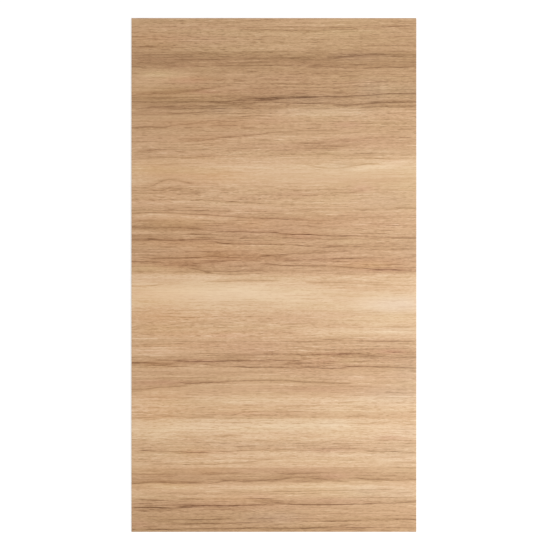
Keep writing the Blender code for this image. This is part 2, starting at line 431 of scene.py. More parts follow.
    (6, 0.30, ((670, 1969), (710, 1967), (760, 1968), (790, 1972))),
    (6, 0.42, ((960, 1968), (1000, 1974), (1050, 1976), (1090, 1973))),
    (6, 0.45, ((610, 1978), (650, 1973), (680, 1969))),
    (6, 0.20, ((780, 1971), (820, 1975), (860, 1980))),
    (6, 0.38, ((1080, 1978), (1140, 1979), (1220, 1975))),
    (7, 0.50, ((385, 1980), (450, 1979))),
    (7, 0.50, ((460, 1984), (530, 1981), (570, 1978), (620, 1976))),
    (5, 0.42, ((865, 1983), (900, 1983), (925, 1987))),
    (5, 0.35, ((690, 1987), (750, 1986), (810, 1987))),
    (6, 0.45, ((320, 1993), (370, 1988), (400, 1981))),
    (7, 0.50, ((0, 1994), (50, 1989), (80, 1987), (150, 1986))),
    (6, 0.42, ((250, 1990), (310, 1989))),
    (7, 0.38, ((130, 1988), (190, 1991), (260, 1990))),
    # 2000 to 2200 mm down
    (4, 0.40, ((790, 2023), (860, 2021), (940, 2021), (1000, 2018), (1110, 2017))),
    (5, 0.40, ((600, 2027), (700, 2026), (790, 2024))),
    (4, 0.28, ((440, 2030), (520, 2030), (620, 2029))),
    (4, 0.34, ((250, 2034), (325, 2033))),
    (4, 0.36, ((60, 2034), (140, 2034), (230, 2033))),
    (4, 0.34, ((110, 2048), (190, 2046))),
    (4, 0.42, ((495, 2056), (560, 2056), (610, 2058))),
    (5, 0.45, ((210, 2061), (250, 2059), (310, 2060))),
    (5, 0.45, ((25, 2061), (80, 2063), (155, 2065))),
    (5, 0.35, ((530, 2065), (600, 2067), (640, 2066))),
    (6, 0.60, ((1000, 2080), (1050, 2076), (1120, 2077), (1160, 2074), (1220, 2073))),
    (5, 0.45, ((570, 2081), (600, 2076), (640, 2076))),
    (4, 0.30, ((30, 2078), (90, 2078))),
    (7, 0.50, ((620, 2077), (680, 2080))),
    (5, 0.80, ((850, 2083), (930, 2081), (1000, 2081), (1030, 2078))),
    (8, 0.75, ((670, 2080), (710, 2083), (780, 2083), (860, 2083))),
    (6, 0.60, ((515, 2086), (545, 2082), (580, 2081))),
    (6, 0.38, ((60, 2088), (140, 2087), (200, 2085), (260, 2085))),
    (6, 0.65, ((430, 2088), (480, 2086), (530, 2085))),
    (8, 0.80, ((205, 2092), (240, 2090), (280, 2087), (330, 2087), (400, 2088), (450, 2088))),
    (6, 0.36, ((130, 2098), (200, 2099), (240, 2095), (290, 2090))),
    (8, 0.55, ((0, 2096), (60, 2094), (110, 2095), (150, 2099))),
    (5, 0.42, ((20, 2108), (90, 2106), (190, 2106))),
    (4, 0.34, ((480, 2148), (540, 2145), (620, 2144))),
    (5, 0.30, ((90, 2147), (160, 2146))),
    (5, 0.30, ((250, 2148), (340, 2149), (420, 2143))),
    (5, 0.42, ((1030, 2149), (1100, 2150), (1150, 2146), (1220, 2146))),
    (5, 0.40, ((840, 2154), (900, 2154), (960, 2150), (1040, 2149))),
    (4, 0.32, ((510, 2160), (560, 2159), (620, 2158))),
    (5, 0.42, ((400, 2164), (450, 2161), (510, 2162))),
    (6, 0.42, ((220, 2166), (280, 2165), (330, 2161), (400, 2164))),
    (6, 0.34, ((60, 2176), (110, 2176))),
    (7, 0.50, ((790, 2181), (860, 2179), (960, 2181))),
    (6, 0.34, ((1010, 2180), (1100, 2180), (1220, 2182))),
    (5, 0.50, ((950, 2182), (985, 2184), (1020, 2180))),
    (7, 0.50, ((410, 2186), (520, 2183), (570, 2181), (620, 2184))),
    (7, 0.55, ((610, 2184), (690, 2184), (740, 2183))),
    (7, 0.50, ((730, 2186), (760, 2185), (800, 2180))),
    (7, 0.50, ((240, 2187), (290, 2187), (360, 2184), (420, 2186))),
    (7, 0.42, ((0, 2190), (200, 2190), (250, 2186))),
)

# Soft streaks that lighten or darken the wood: how far each spreads to either side, the
# change, and the points that it passes
Streak = namedtuple("Streak", "spread change path")
STREAKS = table(
    Streak,
    # 0 to 200 mm down
    (6, 0.06, ((1040, 19), (1110, 18))),
    (6, -0.07, ((1110, 29), (1170, 31))),
    (5, -0.05, ((760, 39), (850, 38), (950, 44), (1000, 42))),
    (9, 0.06, ((540, 66), (700, 68), (900, 70), (1000, 72))),
    (12, 0.05, ((590, 120), (650, 127), (780, 130))),
    (9, -0.04, ((480, 172), (600, 172), (700, 175), (800, 176), (870, 170), (950, 164),
        (1010, 157), (1100, 156), (1220, 159))),
    (8, 0.04, ((900, 186), (1000, 184))),
    # 200 to 400 mm down
    (8, -0.04, ((350, 204), (450, 205), (560, 204))),
    (8, -0.05, ((740, 207), (850, 205), (950, 205), (1050, 203), (1150, 212), (1220, 210))),
    (9, -0.05, ((0, 224), (400, 223), (860, 222))),
    (12, 0.08, ((50, 238), (130, 234), (240, 236))),
    (8, -0.02, ((760, 240), (900, 241), (1000, 240))),
    (10, -0.05, ((265, 225), (300, 240), (340, 258), (420, 262))),
    (9, 0.05, ((240, 246), (500, 252), (880, 248))),
    (10, 0.03, ((160, 262), (240, 270), (300, 282))),
    (10, 0.04, ((270, 320), (330, 312), (420, 300), (500, 290))),
    (6, -0.06, ((60, 324), (120, 318), (200, 312), (270, 308), (330, 298), (400, 288))),
    (7, -0.04, ((380, 335), (600, 328), (850, 326))),
    (8, -0.06, ((540, 350), (640, 341), (760, 336))),
    (8, -0.06, ((0, 345), (100, 346), (200, 350), (350, 352))),
    (9, -0.05, ((880, 376), (950, 372), (1000, 368), (1100, 361), (1220, 352))),
    (10, -0.05, ((50, 384), (200, 386), (330, 380), (420, 370), (520, 366))),
    (8, -0.04, ((420, 384), (520, 380), (600, 376))),
    (7, -0.06, ((1010, 384), (1100, 380), (1220, 378))),
    (12, -0.09, ((0, 408), (200, 408), (350, 400), (480, 394), (640, 388))),
    # 400 to 600 mm down
    (10, 0.05, ((1000, 398), (1100, 400), (1220, 402))),
    (18, 0.07, ((640, 411), (740, 408), (850, 404), (950, 408), (1010, 412))),
    (10, -0.03, ((1000, 450), (1150, 450), (1220, 446))),
    (8, 0.04, ((880, 505), (1000, 500), (1100, 504))),
    (6, -0.07, ((210, 531), (300, 523), (350, 518), (400, 512), (450, 506), (520, 500),
        (600, 491), (700, 490))),
    (10, 0.05, ((480, 512), (560, 508), (640, 516))),
    (14, -0.04, ((860, 535), (1000, 528), (1220, 522))),
    (11, -0.09, ((690, 541), (780, 541), (850, 545), (960, 548))),
    (9, -0.06, ((540, 579), (600, 581), (640, 572), (720, 570))),
    (6, -0.06, ((0, 599), (100, 598), (200, 596), (300, 598), (360, 600))),
    (7, -0.05, ((760, 605), (860, 605), (950, 596), (1040, 590))),
    (6, -0.05, ((1060, 601), (1130, 600), (1200, 598))),
    # 600 to 800 mm down
    (6, -0.03, ((150, 602), (450, 601), (720, 600))),
    (8, -0.07, ((900, 622), (950, 624), (1000, 620))),
    (15, 0.08, ((930, 650), (1000, 640), (1060, 631), (1120, 622), (1170, 612), (1220, 604))),
    (24, 0.04, ((150, 640), (400, 640), (600, 643), (800, 648), (900, 655))),
    (12, -0.04, ((900, 705), (1000, 702), (1100, 700), (1220, 698))),
    (9, -0.08, ((60, 722), (100, 708), (140, 695), (190, 690), (240, 702), (300, 722))),
    (8, -0.05, ((150, 716), (200, 722), (240, 728))),
    (12, -0.08, ((90, 738), (150, 732), (220, 738), (280, 745), (320, 740))),
    (7, -0.10, ((235, 745), (275, 747), (310, 738))),
    (10, -0.05, ((850, 750), (900, 748), (960, 744))),
    (16, -0.04, ((460, 770), (560, 768), (640, 760), (700, 752), (760, 752), (860, 742))),
    (9, 0.03, ((760, 792), (900, 790), (1000, 780))),
    (5, -0.07, ((230, 783), (350, 785), (450, 789), (520, 793), (600, 799), (690, 802))),
    # 800 to 1000 mm down
    (9, 0.07, ((340, 797), (450, 802), (560, 806), (650, 806))),
    (7, -0.06, ((620, 823), (850, 818), (1000, 816), (1100, 814), (1220, 811))),
    (9, -0.09, ((0, 819), (100, 818), (180, 818))),
    (7, -0.05, ((220, 827), (300, 824), (330, 822))),
    (15, 0.11, ((20, 846), (120, 844), (220, 848), (320, 854), (420, 858))),
    (7, -0.05, ((780, 853), (870, 858), (1000, 856), (1080, 848))),
    (6, -0.04, ((540, 855), (620, 857), (700, 858), (760, 855))),
    (10, 0.04, ((820, 872), (900, 872), (1000, 870))),
    (8, -0.06, ((0, 892), (100, 892), (200, 896), (290, 900))),
    (7, -0.04, ((250, 895), (500, 896), (820, 897))),
    (7, -0.08, ((215, 900), (300, 901))),
    (8, 0.11, ((0, 918), (60, 917), (130, 917))),
    (7, 0.13, ((160, 919), (210, 918), (250, 918))),
    (6, -0.05, ((245, 930), (310, 930))),
    (7, -0.07, ((270, 926), (420, 930), (560, 940), (660, 944))),
    (10, 0.06, ((860, 960), (920, 959), (990, 962))),
    (10, 0.06, ((240, 978), (350, 980), (500, 978), (600, 984))),
    # 1000 to 1200 mm down
    (10, 0.05, ((1060, 1000), (1150, 1004), (1220, 1004))),
    (7, -0.05, ((640, 1015), (700, 1008), (800, 1000), (900, 996))),
    (14, -0.05, ((320, 1010), (450, 1015), (600, 1010))),
    (9, -0.05, ((60, 1025), (150, 1026), (300, 1024))),
    (8, -0.06, ((545, 1019), (600, 1018), (640, 1028), (700, 1038))),
    (7, -0.03, ((760, 1037), (850, 1036), (960, 1029), (1050, 1026))),
    (14, -0.05, ((330, 1035), (450, 1032), (560, 1030))),
    (6, 0.04, ((650, 1050), (800, 1052), (920, 1052))),
    (9, -0.06, ((560, 1056), (600, 1054), (640, 1058))),
    (12, -0.08, ((140, 1057), (180, 1056), (225, 1058))),
    (8, -0.05, ((980, 1072), (1050, 1077), (1160, 1078))),
    (8, 0.06, ((600, 1063), (750, 1073), (900, 1083), (1080, 1087))),
    (10, -0.06, ((330, 1088), (450, 1088), (600, 1082))),
    (10, 0.07, ((0, 1102), (120, 1104), (300, 1108), (400, 1112))),
    (7, -0.06, ((330, 1127), (450, 1126), (600, 1125))),
    (8, -0.07, ((760, 1135), (860, 1134), (950, 1134), (1080, 1137))),
    (7, -0.05, ((50, 1150), (100, 1144), (150, 1136), (230, 1130))),
    (10, -0.05, ((830, 1155), (950, 1160), (1100, 1165), (1220, 1170))),
    (18, 0.03, ((80, 1170), (250, 1165), (450, 1165), (600, 1180), (760, 1188))),
    (10, -0.05, ((840, 1185), (950, 1190), (1000, 1188))),
    # 1200 to 1400 mm down
    (8, -0.03, ((0, 1215), (200, 1220), (450, 1222))),
    (22, 0.05, ((960, 1220), (1060, 1220), (1220, 1222))),
    (8, -0.05, ((400, 1215), (700, 1220), (950, 1223), (1220, 1230))),
    (12, -0.05, ((540, 1288), (620, 1284), (700, 1290), (800, 1300))),
    (8, -0.13, ((180, 1314), (235, 1320))),
    (7, -0.05, ((770, 1319), (860, 1319), (960, 1314))),
    (7, -0.05, ((40, 1318), (100, 1317))),
    (9, 0.07, ((690, 1342), (850, 1342), (1000, 1344), (1120, 1342), (1220, 1345))),
    (8, -0.04, ((0, 1348), (60, 1347), (130, 1342))),
    # 1400 to 1600 mm down
    (17, 0.07, ((0, 1428), (100, 1426), (180, 1424))),
    (6, -0.07, ((1075, 1421), (1110, 1426), (1170, 1434))),
    (8, -0.05, ((710, 1440), (850, 1438), (940, 1438))),
    (10, -0.07, ((900, 1440), (980, 1445), (1050, 1447), (1120, 1447), (1220, 1446))),
    (8, -0.05, ((320, 1452), (400, 1452), (460, 1456))),
    (9, 0.04, ((780, 1462), (850, 1464), (940, 1468))),
    (7, -0.06, ((190, 1467), (300, 1470), (400, 1467), (500, 1463))),
    (8, -0.07, ((0, 1474), (100, 1478), (200, 1478))),
    (7, -0.04, ((680, 1478), (760, 1479))),
    (8, -0.05, ((470, 1488), (600, 1490), (700, 1490), (850, 1486))),
    (6, -0.04, ((900, 1492), (1050, 1492), (1220, 1494))),
    (9, -0.05, ((140, 1518), (300, 1522), (480, 1530))),
    (14, -0.06, ((110, 1548), (200, 1542), (300, 1546))),
    (7, -0.04, ((420, 1552), (520, 1549), (620, 1550), (720, 1556), (850, 1562), (940, 1566))),
    (12, -0.04, ((30, 1568), (100, 1562), (160, 1556))),
    (9, -0.06, ((0, 1590), (60, 1588), (110, 1580), (180, 1572), (250, 1563), (330, 1557), (420, 1552))),
    (9, 0.07, ((60, 1584), (200, 1582), (330, 1573), (450, 1574), (660, 1572))),
    (12, -0.04, ((640, 1586), (760, 1586), (860, 1580), (960, 1590))),
    # 1600 to 1800 mm down
    (8, 0.05, ((60, 1604), (150, 1602), (250, 1600))),
    (10, 0.04, ((300, 1632), (600, 1634), (900, 1636), (1220, 1638))),
    (10, -0.04, ((280, 1694), (400, 1694), (560, 1696), (700, 1698))),
    (5, -0.07, ((275, 1702), (325, 1703))),
    (16, 0.05, ((560, 1748), (700, 1746), (850, 1740), (930, 1744))),
    (17, 0.03, ((100, 1748), (250, 1752), (420, 1748))),
    (7, -0.07, ((180, 1796), (300, 1794), (390, 1788), (450, 1787))),
    (9, -0.06, ((1060, 1798), (1100, 1794), (1150, 1798))),
    # 1800 to 2000 mm down
    (7, -0.05, ((560, 1816), (620, 1814), (680, 1816))),
    (7, -0.07, ((640, 1828), (700, 1828), (760, 1836))),
    (7, -0.05, ((450, 1834), (540, 1832), (620, 1829))),
    (8, -0.05, ((590, 1852), (680, 1851), (760, 1851))),
    (9, -0.08, ((780, 1848), (860, 1847), (960, 1850), (1060, 1855), (1160, 1858))),
    (5, -0.04, ((160, 1858), (240, 1859), (320, 1859))),
    (8, -0.06, ((1020, 1857), (1120, 1859), (1220, 1866))),
    (9, 0.05, ((340, 1876), (450, 1874), (620, 1868))),
    (7, -0.05, ((640, 1884), (850, 1884), (1060, 1886))),
    (10, 0.05, ((1040, 1886), (1130, 1888), (1220, 1886))),
    (5, -0.04, ((540, 1889), (600, 1888))),
    (5, -0.05, ((95, 1896), (130, 1902), (150, 1910))),
    (12, -0.04, ((0, 1955), (100, 1954), (200, 1960))),
    (15, -0.08, ((620, 1962), (700, 1952), (760, 1952), (840, 1962))),
    (8, -0.05, ((1060, 1966), (1130, 1961), (1190, 1965))),
    (9, -0.03, ((780, 1972), (860, 1976), (920, 1980))),
    (8, -0.05, ((1000, 1976), (1040, 1978), (1090, 1974))),
    (9, -0.05, ((400, 1983), (540, 1981), (620, 1976))),
    (9, -0.05, ((0, 1986), (100, 1985), (250, 1988))),
    # 2000 to 2200 mm down
    (15, 0.06, ((100, 2006), (250, 2004), (420, 2008), (600, 2006), (800, 2004), (1000, 2008), (1220, 2014))),
    (6, -0.05, ((180, 2036), (300, 2037), (450, 2036), (600, 2036))),
    (10, -0.06, ((500, 2057), (700, 2064), (900, 2068), (1060, 2070))),
    (7, -0.05, ((80, 2067), (160, 2069), (220, 2076))),
    (7, 0.05, ((240, 2110), (380, 2110), (520, 2108))),
    (12, -0.03, ((60, 2150), (200, 2152), (380, 2150))),
    (8, -0.04, ((640, 2152), (720, 2152))),
    (7, -0.04, ((740, 2152), (880, 2153), (1000, 2151))),
    (7, -0.05, ((440, 2182), (600, 2184), (800, 2183), (1000, 2183))),
)

# Where the wood is more golden, above 0, or more rosy, below 0, than elsewhere
GOLDEN_AND_ROSY = table(
    Patch,
    # 0 to 200 mm down
    (240, 35, 300, 30, 0.4), (1080, 38, 160, 9, -0.4), (900, 40, 340, 34, 0.7),
    (250, 41, 300, 10, -1.5), (700, 41, 350, 9, -0.6), (800, 75, 420, 35, 0.8),
    (200, 95, 260, 30, -1.0), (600, 140, 700, 60, 0.6), (970, 165, 110, 20, -0.8),
    (150, 185, 420, 30, -0.9),
    # 200 to 400 mm down
    (310, 215, 60, 36, 0.6), (120, 240, 80, 14, 1.5), (240, 268, 90, 14, -2.5),
    (150, 270, 130, 30, 0.6), (620, 285, 330, 40, -0.7), (1050, 290, 240, 70, 0.5),
    (1180, 300, 100, 50, 1.0), (1190, 310, 60, 30, -0.8), (310, 316, 60, 8, -2.0),
    (200, 330, 260, 30, 0.3), (640, 345, 330, 26, -0.4), (620, 398, 300, 18, -0.4),
    # 400 to 600 mm down
    (820, 404, 160, 18, 1.2), (600, 430, 80, 14, -1.0), (1080, 450, 90, 16, 0.5),
    (930, 455, 60, 12, -2.0), (250, 480, 500, 60, -0.5), (1000, 530, 220, 18, -1.0),
    (90, 530, 90, 150, -0.3), (800, 550, 260, 30, -0.6), (860, 577, 50, 10, 1.0),
    (320, 578, 200, 30, -0.5),
    # 600 to 800 mm down
    (1140, 618, 60, 12, -1.2), (1100, 640, 300, 60, 0.9), (220, 660, 260, 24, 1.0),
    (240, 675, 300, 40, -1.2), (1200, 720, 60, 200, 0.8), (990, 727, 50, 20, -2.5),
    (1000, 740, 380, 40, 0.5), (720, 752, 90, 16, -1.2), (120, 765, 140, 50, -0.7),
    (560, 770, 180, 20, -0.5), (860, 780, 80, 30, 0.6),
    # 800 to 1000 mm down
    (150, 800, 300, 40, -0.4), (550, 870, 620, 40, -0.6), (140, 880, 160, 22, 1.0),
    (550, 900, 600, 60, -1.0), (730, 935, 60, 10, -1.8), (600, 960, 60, 28, 0.4),
    (920, 960, 70, 12, 1.2), (350, 965, 300, 20, -0.7), (1180, 990, 80, 40, -0.4),
    # 1000 to 1200 mm down
    (620, 1000, 50, 40, 0.2), (300, 1030, 600, 50, -1.5), (1000, 1040, 380, 50, -0.7),
    (1050, 1055, 60, 14, 0.6), (60, 1070, 80, 16, 1.5), (1080, 1078, 110, 9, -2.0),
    (720, 1140, 140, 14, -0.6), (350, 1155, 520, 34, 0.9), (100, 1180, 160, 50, -1.2),
    # 1200 to 1400 mm down
    (900, 1215, 420, 40, 0.6), (30, 1215, 130, 22, 1.0), (1120, 1225, 110, 22, -0.4),
    (100, 1268, 120, 14, -0.8), (1100, 1285, 160, 22, 0.8), (400, 1285, 420, 20, -1.0),
    (1060, 1315, 130, 16, 0.6), (1150, 1320, 200, 80, 0.6), (160, 1345, 220, 18, 0.3),
    (420, 1362, 80, 10, -1.5), (280, 1385, 340, 50, -0.9),
    # 1400 to 1600 mm down
    (1110, 1400, 170, 60, -0.4), (560, 1420, 160, 40, -1.2), (90, 1425, 120, 20, -0.8),
    (1110, 1428, 60, 10, -2.5), (860, 1438, 90, 8, -2.0), (840, 1466, 60, 9, -1.0),
    (930, 1468, 50, 9, 1.5), (290, 1468, 90, 10, -1.5), (600, 1480, 600, 24, -1.0),
    (900, 1540, 160, 20, -1.0), (120, 1560, 120, 16, -1.2), (1180, 1570, 70, 30, 0.6),
    (100, 1575, 240, 30, -0.5), (860, 1590, 200, 16, -1.5),
    # 1600 to 1800 mm down
    (1120, 1630, 260, 80, 0.3), (620, 1635, 420, 20, 0.4), (950, 1655, 70, 14, 0.7),
    (90, 1675, 110, 80, -0.7), (480, 1695, 200, 12, -1.2), (600, 1750, 700, 50, 0.7),
    (1100, 1795, 60, 9, -1.8),
    # 1800 to 2000 mm down
    (800, 1840, 200, 50, -0.3), (850, 1850, 100, 10, -1.5), (1150, 1850, 120, 50, 0.4),
    (190, 1850, 70, 40, 0.5), (280, 1858, 70, 6, -1.2), (900, 1885, 380, 30, 0.7),
    (1150, 1930, 140, 30, 0.6), (500, 1935, 420, 22, -0.9), (870, 1964, 60, 12, -2.0),
    (150, 1985, 240, 24, -1.2), (1000, 1990, 100, 24, 0.6),
    # 2000 to 2200 mm down
    (120, 2000, 160, 50, 0.2), (200, 2005, 120, 12, 1.2), (850, 2020, 260, 24, 0.8),
    (950, 2035, 300, 22, 0.7), (350, 2042, 160, 10, -1.0), (550, 2046, 80, 12, -1.2),
    (850, 2068, 160, 10, -1.2), (380, 2090, 420, 22, -1.2), (130, 2092, 120, 14, 0.6),
    (600, 2125, 120, 40, -0.2), (30, 2165, 40, 20, -1.5),
)

# Where the colour is richer, above 0, or greyer, below 0, than elsewhere
RICH_AND_GREY = table(
    Patch,
    # 0 to 200 mm down
    (80, 95, 120, 40, 0.6), (980, 165, 120, 20, -0.5),
    # 200 to 400 mm down
    (250, 262, 120, 14, 0.7), (1190, 310, 60, 30, -0.6), (1040, 310, 80, 50, -0.9),
    (150, 320, 260, 30, 0.5), (760, 350, 160, 24, -0.6), (380, 395, 70, 16, -0.6),
    # 400 to 600 mm down
    (750, 400, 160, 18, -0.7), (960, 400, 110, 30, -0.5), (330, 450, 300, 24, 0.5),
    (300, 520, 160, 30, 0.4), (1050, 575, 160, 14, -0.4),
    # 600 to 800 mm down
    (300, 600, 160, 24, 0.4), (900, 632, 60, 20, -0.6), (90, 648, 130, 34, 1.0),
    (360, 675, 160, 34, 1.1), (120, 750, 130, 50, 0.4), (1080, 780, 130, 40, -0.6),
    # 800 to 1000 mm down
    (800, 865, 160, 30, 0.4), (200, 875, 180, 40, 0.8), (520, 880, 90, 30, 0.7),
    (720, 925, 90, 18, 0.5), (180, 962, 220, 20, 0.7), (370, 985, 130, 24, 0.6),
    (600, 990, 80, 50, 0.3), (1200, 990, 60, 50, -0.35),
    # 1000 to 1200 mm down
    (400, 1022, 200, 24, 0.8), (1010, 1055, 130, 20, 1.0), (150, 1060, 200, 40, 0.6),
    (120, 1170, 200, 34, 0.9),
    # 1200 to 1400 mm down
    (1150, 1212, 130, 28, -1.4), (90, 1220, 200, 50, 1.0), (1130, 1240, 150, 26, -1.3),
    (160, 1278, 260, 24, 0.8), (120, 1320, 120, 30, 0.6), (1150, 1335, 120, 18, -0.6),
    (250, 1350, 320, 26, 0.6),
    # 1400 to 1600 mm down
    (170, 1405, 240, 18, 0.6), (1110, 1410, 170, 70, -0.35), (1080, 1430, 120, 14, 0.5),
    (820, 1450, 120, 24, 0.4), (110, 1480, 90, 20, 0.6), (1190, 1520, 70, 50, -0.9),
    (900, 1535, 200, 14, -0.4),
    # 1600 to 1800 mm down
    (1130, 1615, 160, 40, -1.3), (110, 1675, 130, 90, 1.0), (460, 1680, 160, 20, 0.6),
    (860, 1738, 70, 18, -0.8), (700, 1750, 120, 20, -0.5), (1190, 1770, 70, 20, -0.6),
    # 1800 to 2000 mm down
    (480, 1826, 260, 16, -0.5), (820, 1840, 160, 40, -0.4), (260, 1860, 80, 30, 0.6),
    (1150, 1860, 150, 70, -0.8), (320, 1935, 110, 22, 0.6), (90, 1940, 110, 24, 0.5),
    # 2000 to 2200 mm down
    (140, 2000, 160, 24, 0.8), (1000, 2025, 90, 26, -0.8), (1170, 2035, 90, 30, -0.7),
    (1030, 2045, 220, 60, -0.3), (430, 2060, 160, 20, 0.5), (530, 2140, 80, 24, -0.6),
    (650, 2140, 80, 30, -0.8),
)

# Stretches of the sheet where the pores are printed thickly, as patches of density
PORE_FIELDS = table(
    Patch,
    (420, 90, 500, 70, 1.0), (1150, 430, 120, 40, 0.8), (900, 440, 420, 50, 0.7),
    (250, 740, 300, 60, 0.6), (700, 770, 520, 50, 0.9), (830, 1180, 330, 50, 0.8),
    (330, 1300, 420, 90, 1.0), (900, 1310, 260, 40, 0.6), (350, 1680, 520, 110, 1.0),
    (900, 1690, 400, 80, 0.9), (600, 1860, 620, 60, 0.8), (700, 2130, 240, 30, 0.5),
)

# Stretches where the grain is printed fainter, below 0, or stronger, above 0, than elsewhere
GRAIN_FIELDS = table(
    Patch,
    # 0 to 200 mm down
    (1100, 170, 160, 45, -0.16), (500, 190, 620, 60, -0.12),
    # 200 to 400 mm down
    (120, 200, 240, 70, -0.08), (80, 330, 170, 60, -0.22),
    # 400 to 600 mm down
    (150, 420, 260, 50, -0.22), (600, 480, 700, 40, -0.12), (500, 560, 500, 40, 0.10),
    (450, 585, 160, 30, 0.22), (1130, 585, 140, 30, -0.10),
    # 600 to 800 mm down
    (250, 650, 340, 50, -0.20), (1130, 650, 160, 30, -0.16), (900, 665, 420, 50, -0.36),
    (720, 690, 520, 42, -0.26),
    # 800 to 1000 mm down
    (1000, 800, 320, 45, -0.14), (750, 890, 130, 40, -0.14), (1080, 890, 140, 40, 0.16),
    (1060, 930, 160, 60, 0.12),
    # 1000 to 1200 mm down
    (420, 1060, 200, 40, 0.15), (0, 1100, 240, 1500, -0.07), (300, 1180, 520, 60, -0.50),
    # 1200 to 1400 mm down
    (760, 1200, 130, 42, 0.22), (1100, 1200, 140, 40, 0.08), (1000, 1205, 420, 60, -0.48),
    (1090, 1300, 160, 45, -0.18), (1000, 1340, 260, 30, -0.12),
    # 1400 to 1600 mm down
    (950, 1405, 300, 40, 0.14), (700, 1421, 300, 20, 0.14), (750, 1440, 260, 40, 0.14),
    (1000, 1440, 200, 30, 0.12), (760, 1505, 120, 40, 0.26), (400, 1520, 300, 20, -0.20),
    # 1600 to 1800 mm down
    (150, 1600, 320, 50, -0.22), (800, 1600, 520, 50, -0.16), (460, 1610, 200, 45, -0.22),
    (600, 1700, 700, 40, -0.14), (600, 1760, 700, 40, -0.15),
    # 1800 to 2000 mm down
    (450, 1915, 200, 40, -0.12), (600, 1934, 620, 16, -0.08), (900, 1940, 420, 50, -0.14),
    (500, 1975, 700, 40, -0.10),
    # 2000 to 2200 mm down
    (850, 2000, 420, 30, -0.12), (400, 2020, 260, 40, -0.10), (1050, 2110, 260, 40, -0.12),
    (760, 2120, 120, 40, -0.14),
)

# A ring this long turns the fine grain beside it, within this reach. The pull of a straight
# line keeps the grain level where no ring is near. A ring's usual height is the mean of this
# many readings across the sheet.
STEERING_LENGTH_MM = 300
STEERING_REACH_MM = 55
STRAIGHT_PULL = 0.12
PATH_READINGS = 50

# How a path is rounded at its points, and how far a ring and a streak fade out at an open end
PATH_ROUNDING_MM = 16
RING_FADE_MM = 45
STREAK_FADE_MM = 90

# How dense the pores, how golden the hue and how strong the grain are away from any patch
PLAIN_PORES = 0.25
PLAIN_GOLD = 0.1
PLAIN_GRAIN = 0.93

# Names of the attributes and the vertex group that hold the figure on the mesh
LIGHT, DRIFT, PORES, GRAIN = "wood_light", "wood_drift", "wood_pores", "wood_grain"
GOLD, RICH = "wood_gold", "wood_rich"
RING_OFF, RING_DARK = "ring_off_{}", "ring_dark_{}"
PRESSED = "pressed"

# Rings are shared out to this many families, so that each family's lie well apart
RING_FAMILIES = 5

# How far from a ring its line may still be drawn, and how wide its faint shade is
RING_WINDOW_MM = 8.0
SHADE_WIDTHS = 1.5

# What a ring's soft shade and its drawn line take off the wood's lightness
RING_SHADE_SHARE = 0.10
RING_LINE_SHARE = 0.62

# How sharply a ring's line ends, how rough its sides are, in its thicknesses, and how dark
# it is in its whole and in its worn stretches
RING_SHARPNESS = 8.0
RING_ROUGHNESS = 0.12
RING_WHOLE, RING_WORN = 1.25, 0.65

# A vertex is pressed in where the rings' shade is deeper than this
LEAST_PRESS = 0.02

# Noises of the print, in features a metre along the grain, across it and through the sheet
GROWTH_SCALE = (0.9, 30.0, 1.0)
TONES_SCALE = (3.4, 120.0, 1.0)
FIBRES_SCALE = (50.0, 380.0, 1.0)
RING_SIDES_SCALE = (30.0, 160.0, 1.0)
RING_WEAR_SCALE = (9.0, 60.0, 1.0)
STRAY_HUE_SCALE = (2.5, 30.0, 1.0)

# How the grain wanders from its line: the noise that leads it, and how far it strays
Wandering = namedtuple("Wandering", "name scale reach")
WANDERINGS = (
    Wandering("wander", (7.0, 16.0, 1.0), 1.8 * MM),
    Wandering("ripple", (38.0, 70.0, 1.0), 0.8 * MM),
)

# The range that a noise keeps to, and its middle
NOISE_LOW, NOISE_MIDDLE, NOISE_HIGH = 0.3, 0.5, 0.7

# Fine lines of the grain: how many lie side by side in a metre, how many spacings the growth
# noise bends them, how thick they are, how many times in a metre they may break off, the
# noise at which a stretch starts and is full, how strong they are on the whole, and what a
# full line adds to the wood's lightness
Marks = namedtuple("Marks", "name per_metre bend thick breaks start full usual share")
GRAIN_MARKS = (
    Marks("growth lines", 46.0, 1.2, 3.2 * MM, 4.5, 0.46, 0.62, 0.06, -0.18),
    Marks("strands", 83.0, 2.2, 2.8 * MM, 12.0, 0.49, 0.61, 0.06, -0.20),
    Marks("pores", 131.0, 3.5, 3.2 * MM, 26.0, 0.53, 0.62, 0.04, -0.26),
    Marks("needles", 211.0, 5.0, 2.4 * MM, 44.0, 0.50, 0.60, 0.08, -0.16),
    Marks("pale threads", 163.0, 4.2, 2.4 * MM, 9.0, 0.50, 0.62, 0.095, 0.15),
)

# Shares of a line's thickness off its middle at which it starts to fade and is gone
LINE_FADES, LINE_ENDS = 0.2, 0.75

# What the soft tones, the fibres and the growth noise may add to the wood's lightness
TONES_SHARE = 0.27
FIBRES_SHARE = 0.40
GROWTH_SHARE = 0.022

# The grain's contrast in black wood, and how much of it is gone in the palest
FULL_CONTRAST = 2.0
CALM_IN_PALE = 1.45

# How deep the strands lie, and how high the tones are raised, where a pore's depth is 1
STRAND_DEPTH = 0.5
TONES_HEIGHT = 0.35

# How light the wood is at each of its colours
WOOD_STOPS = ((0.0, "vein"), (0.3, "dark"), (0.55, "middle"), (0.8, "light"), (1.0, "pale"))

# The hue that leaves a colour as it is, how far gold turns it, and how far it strays
PLAIN_HUE = 0.5
GOLD_TURN = 0.0042
HUE_STRAY = 0.0022

# The wood's plain saturation, and what rich wood adds to it
PLAIN_RICHNESS = 1.007
RICH_SHARE = 0.07

# The wear layer is duller where the wood is this dark and glossier where it is this light
DULL_LIGHT, GLOSSY_LIGHT = 0.2, 0.9
DULLER, GLOSSIER = 0.08, 0.03

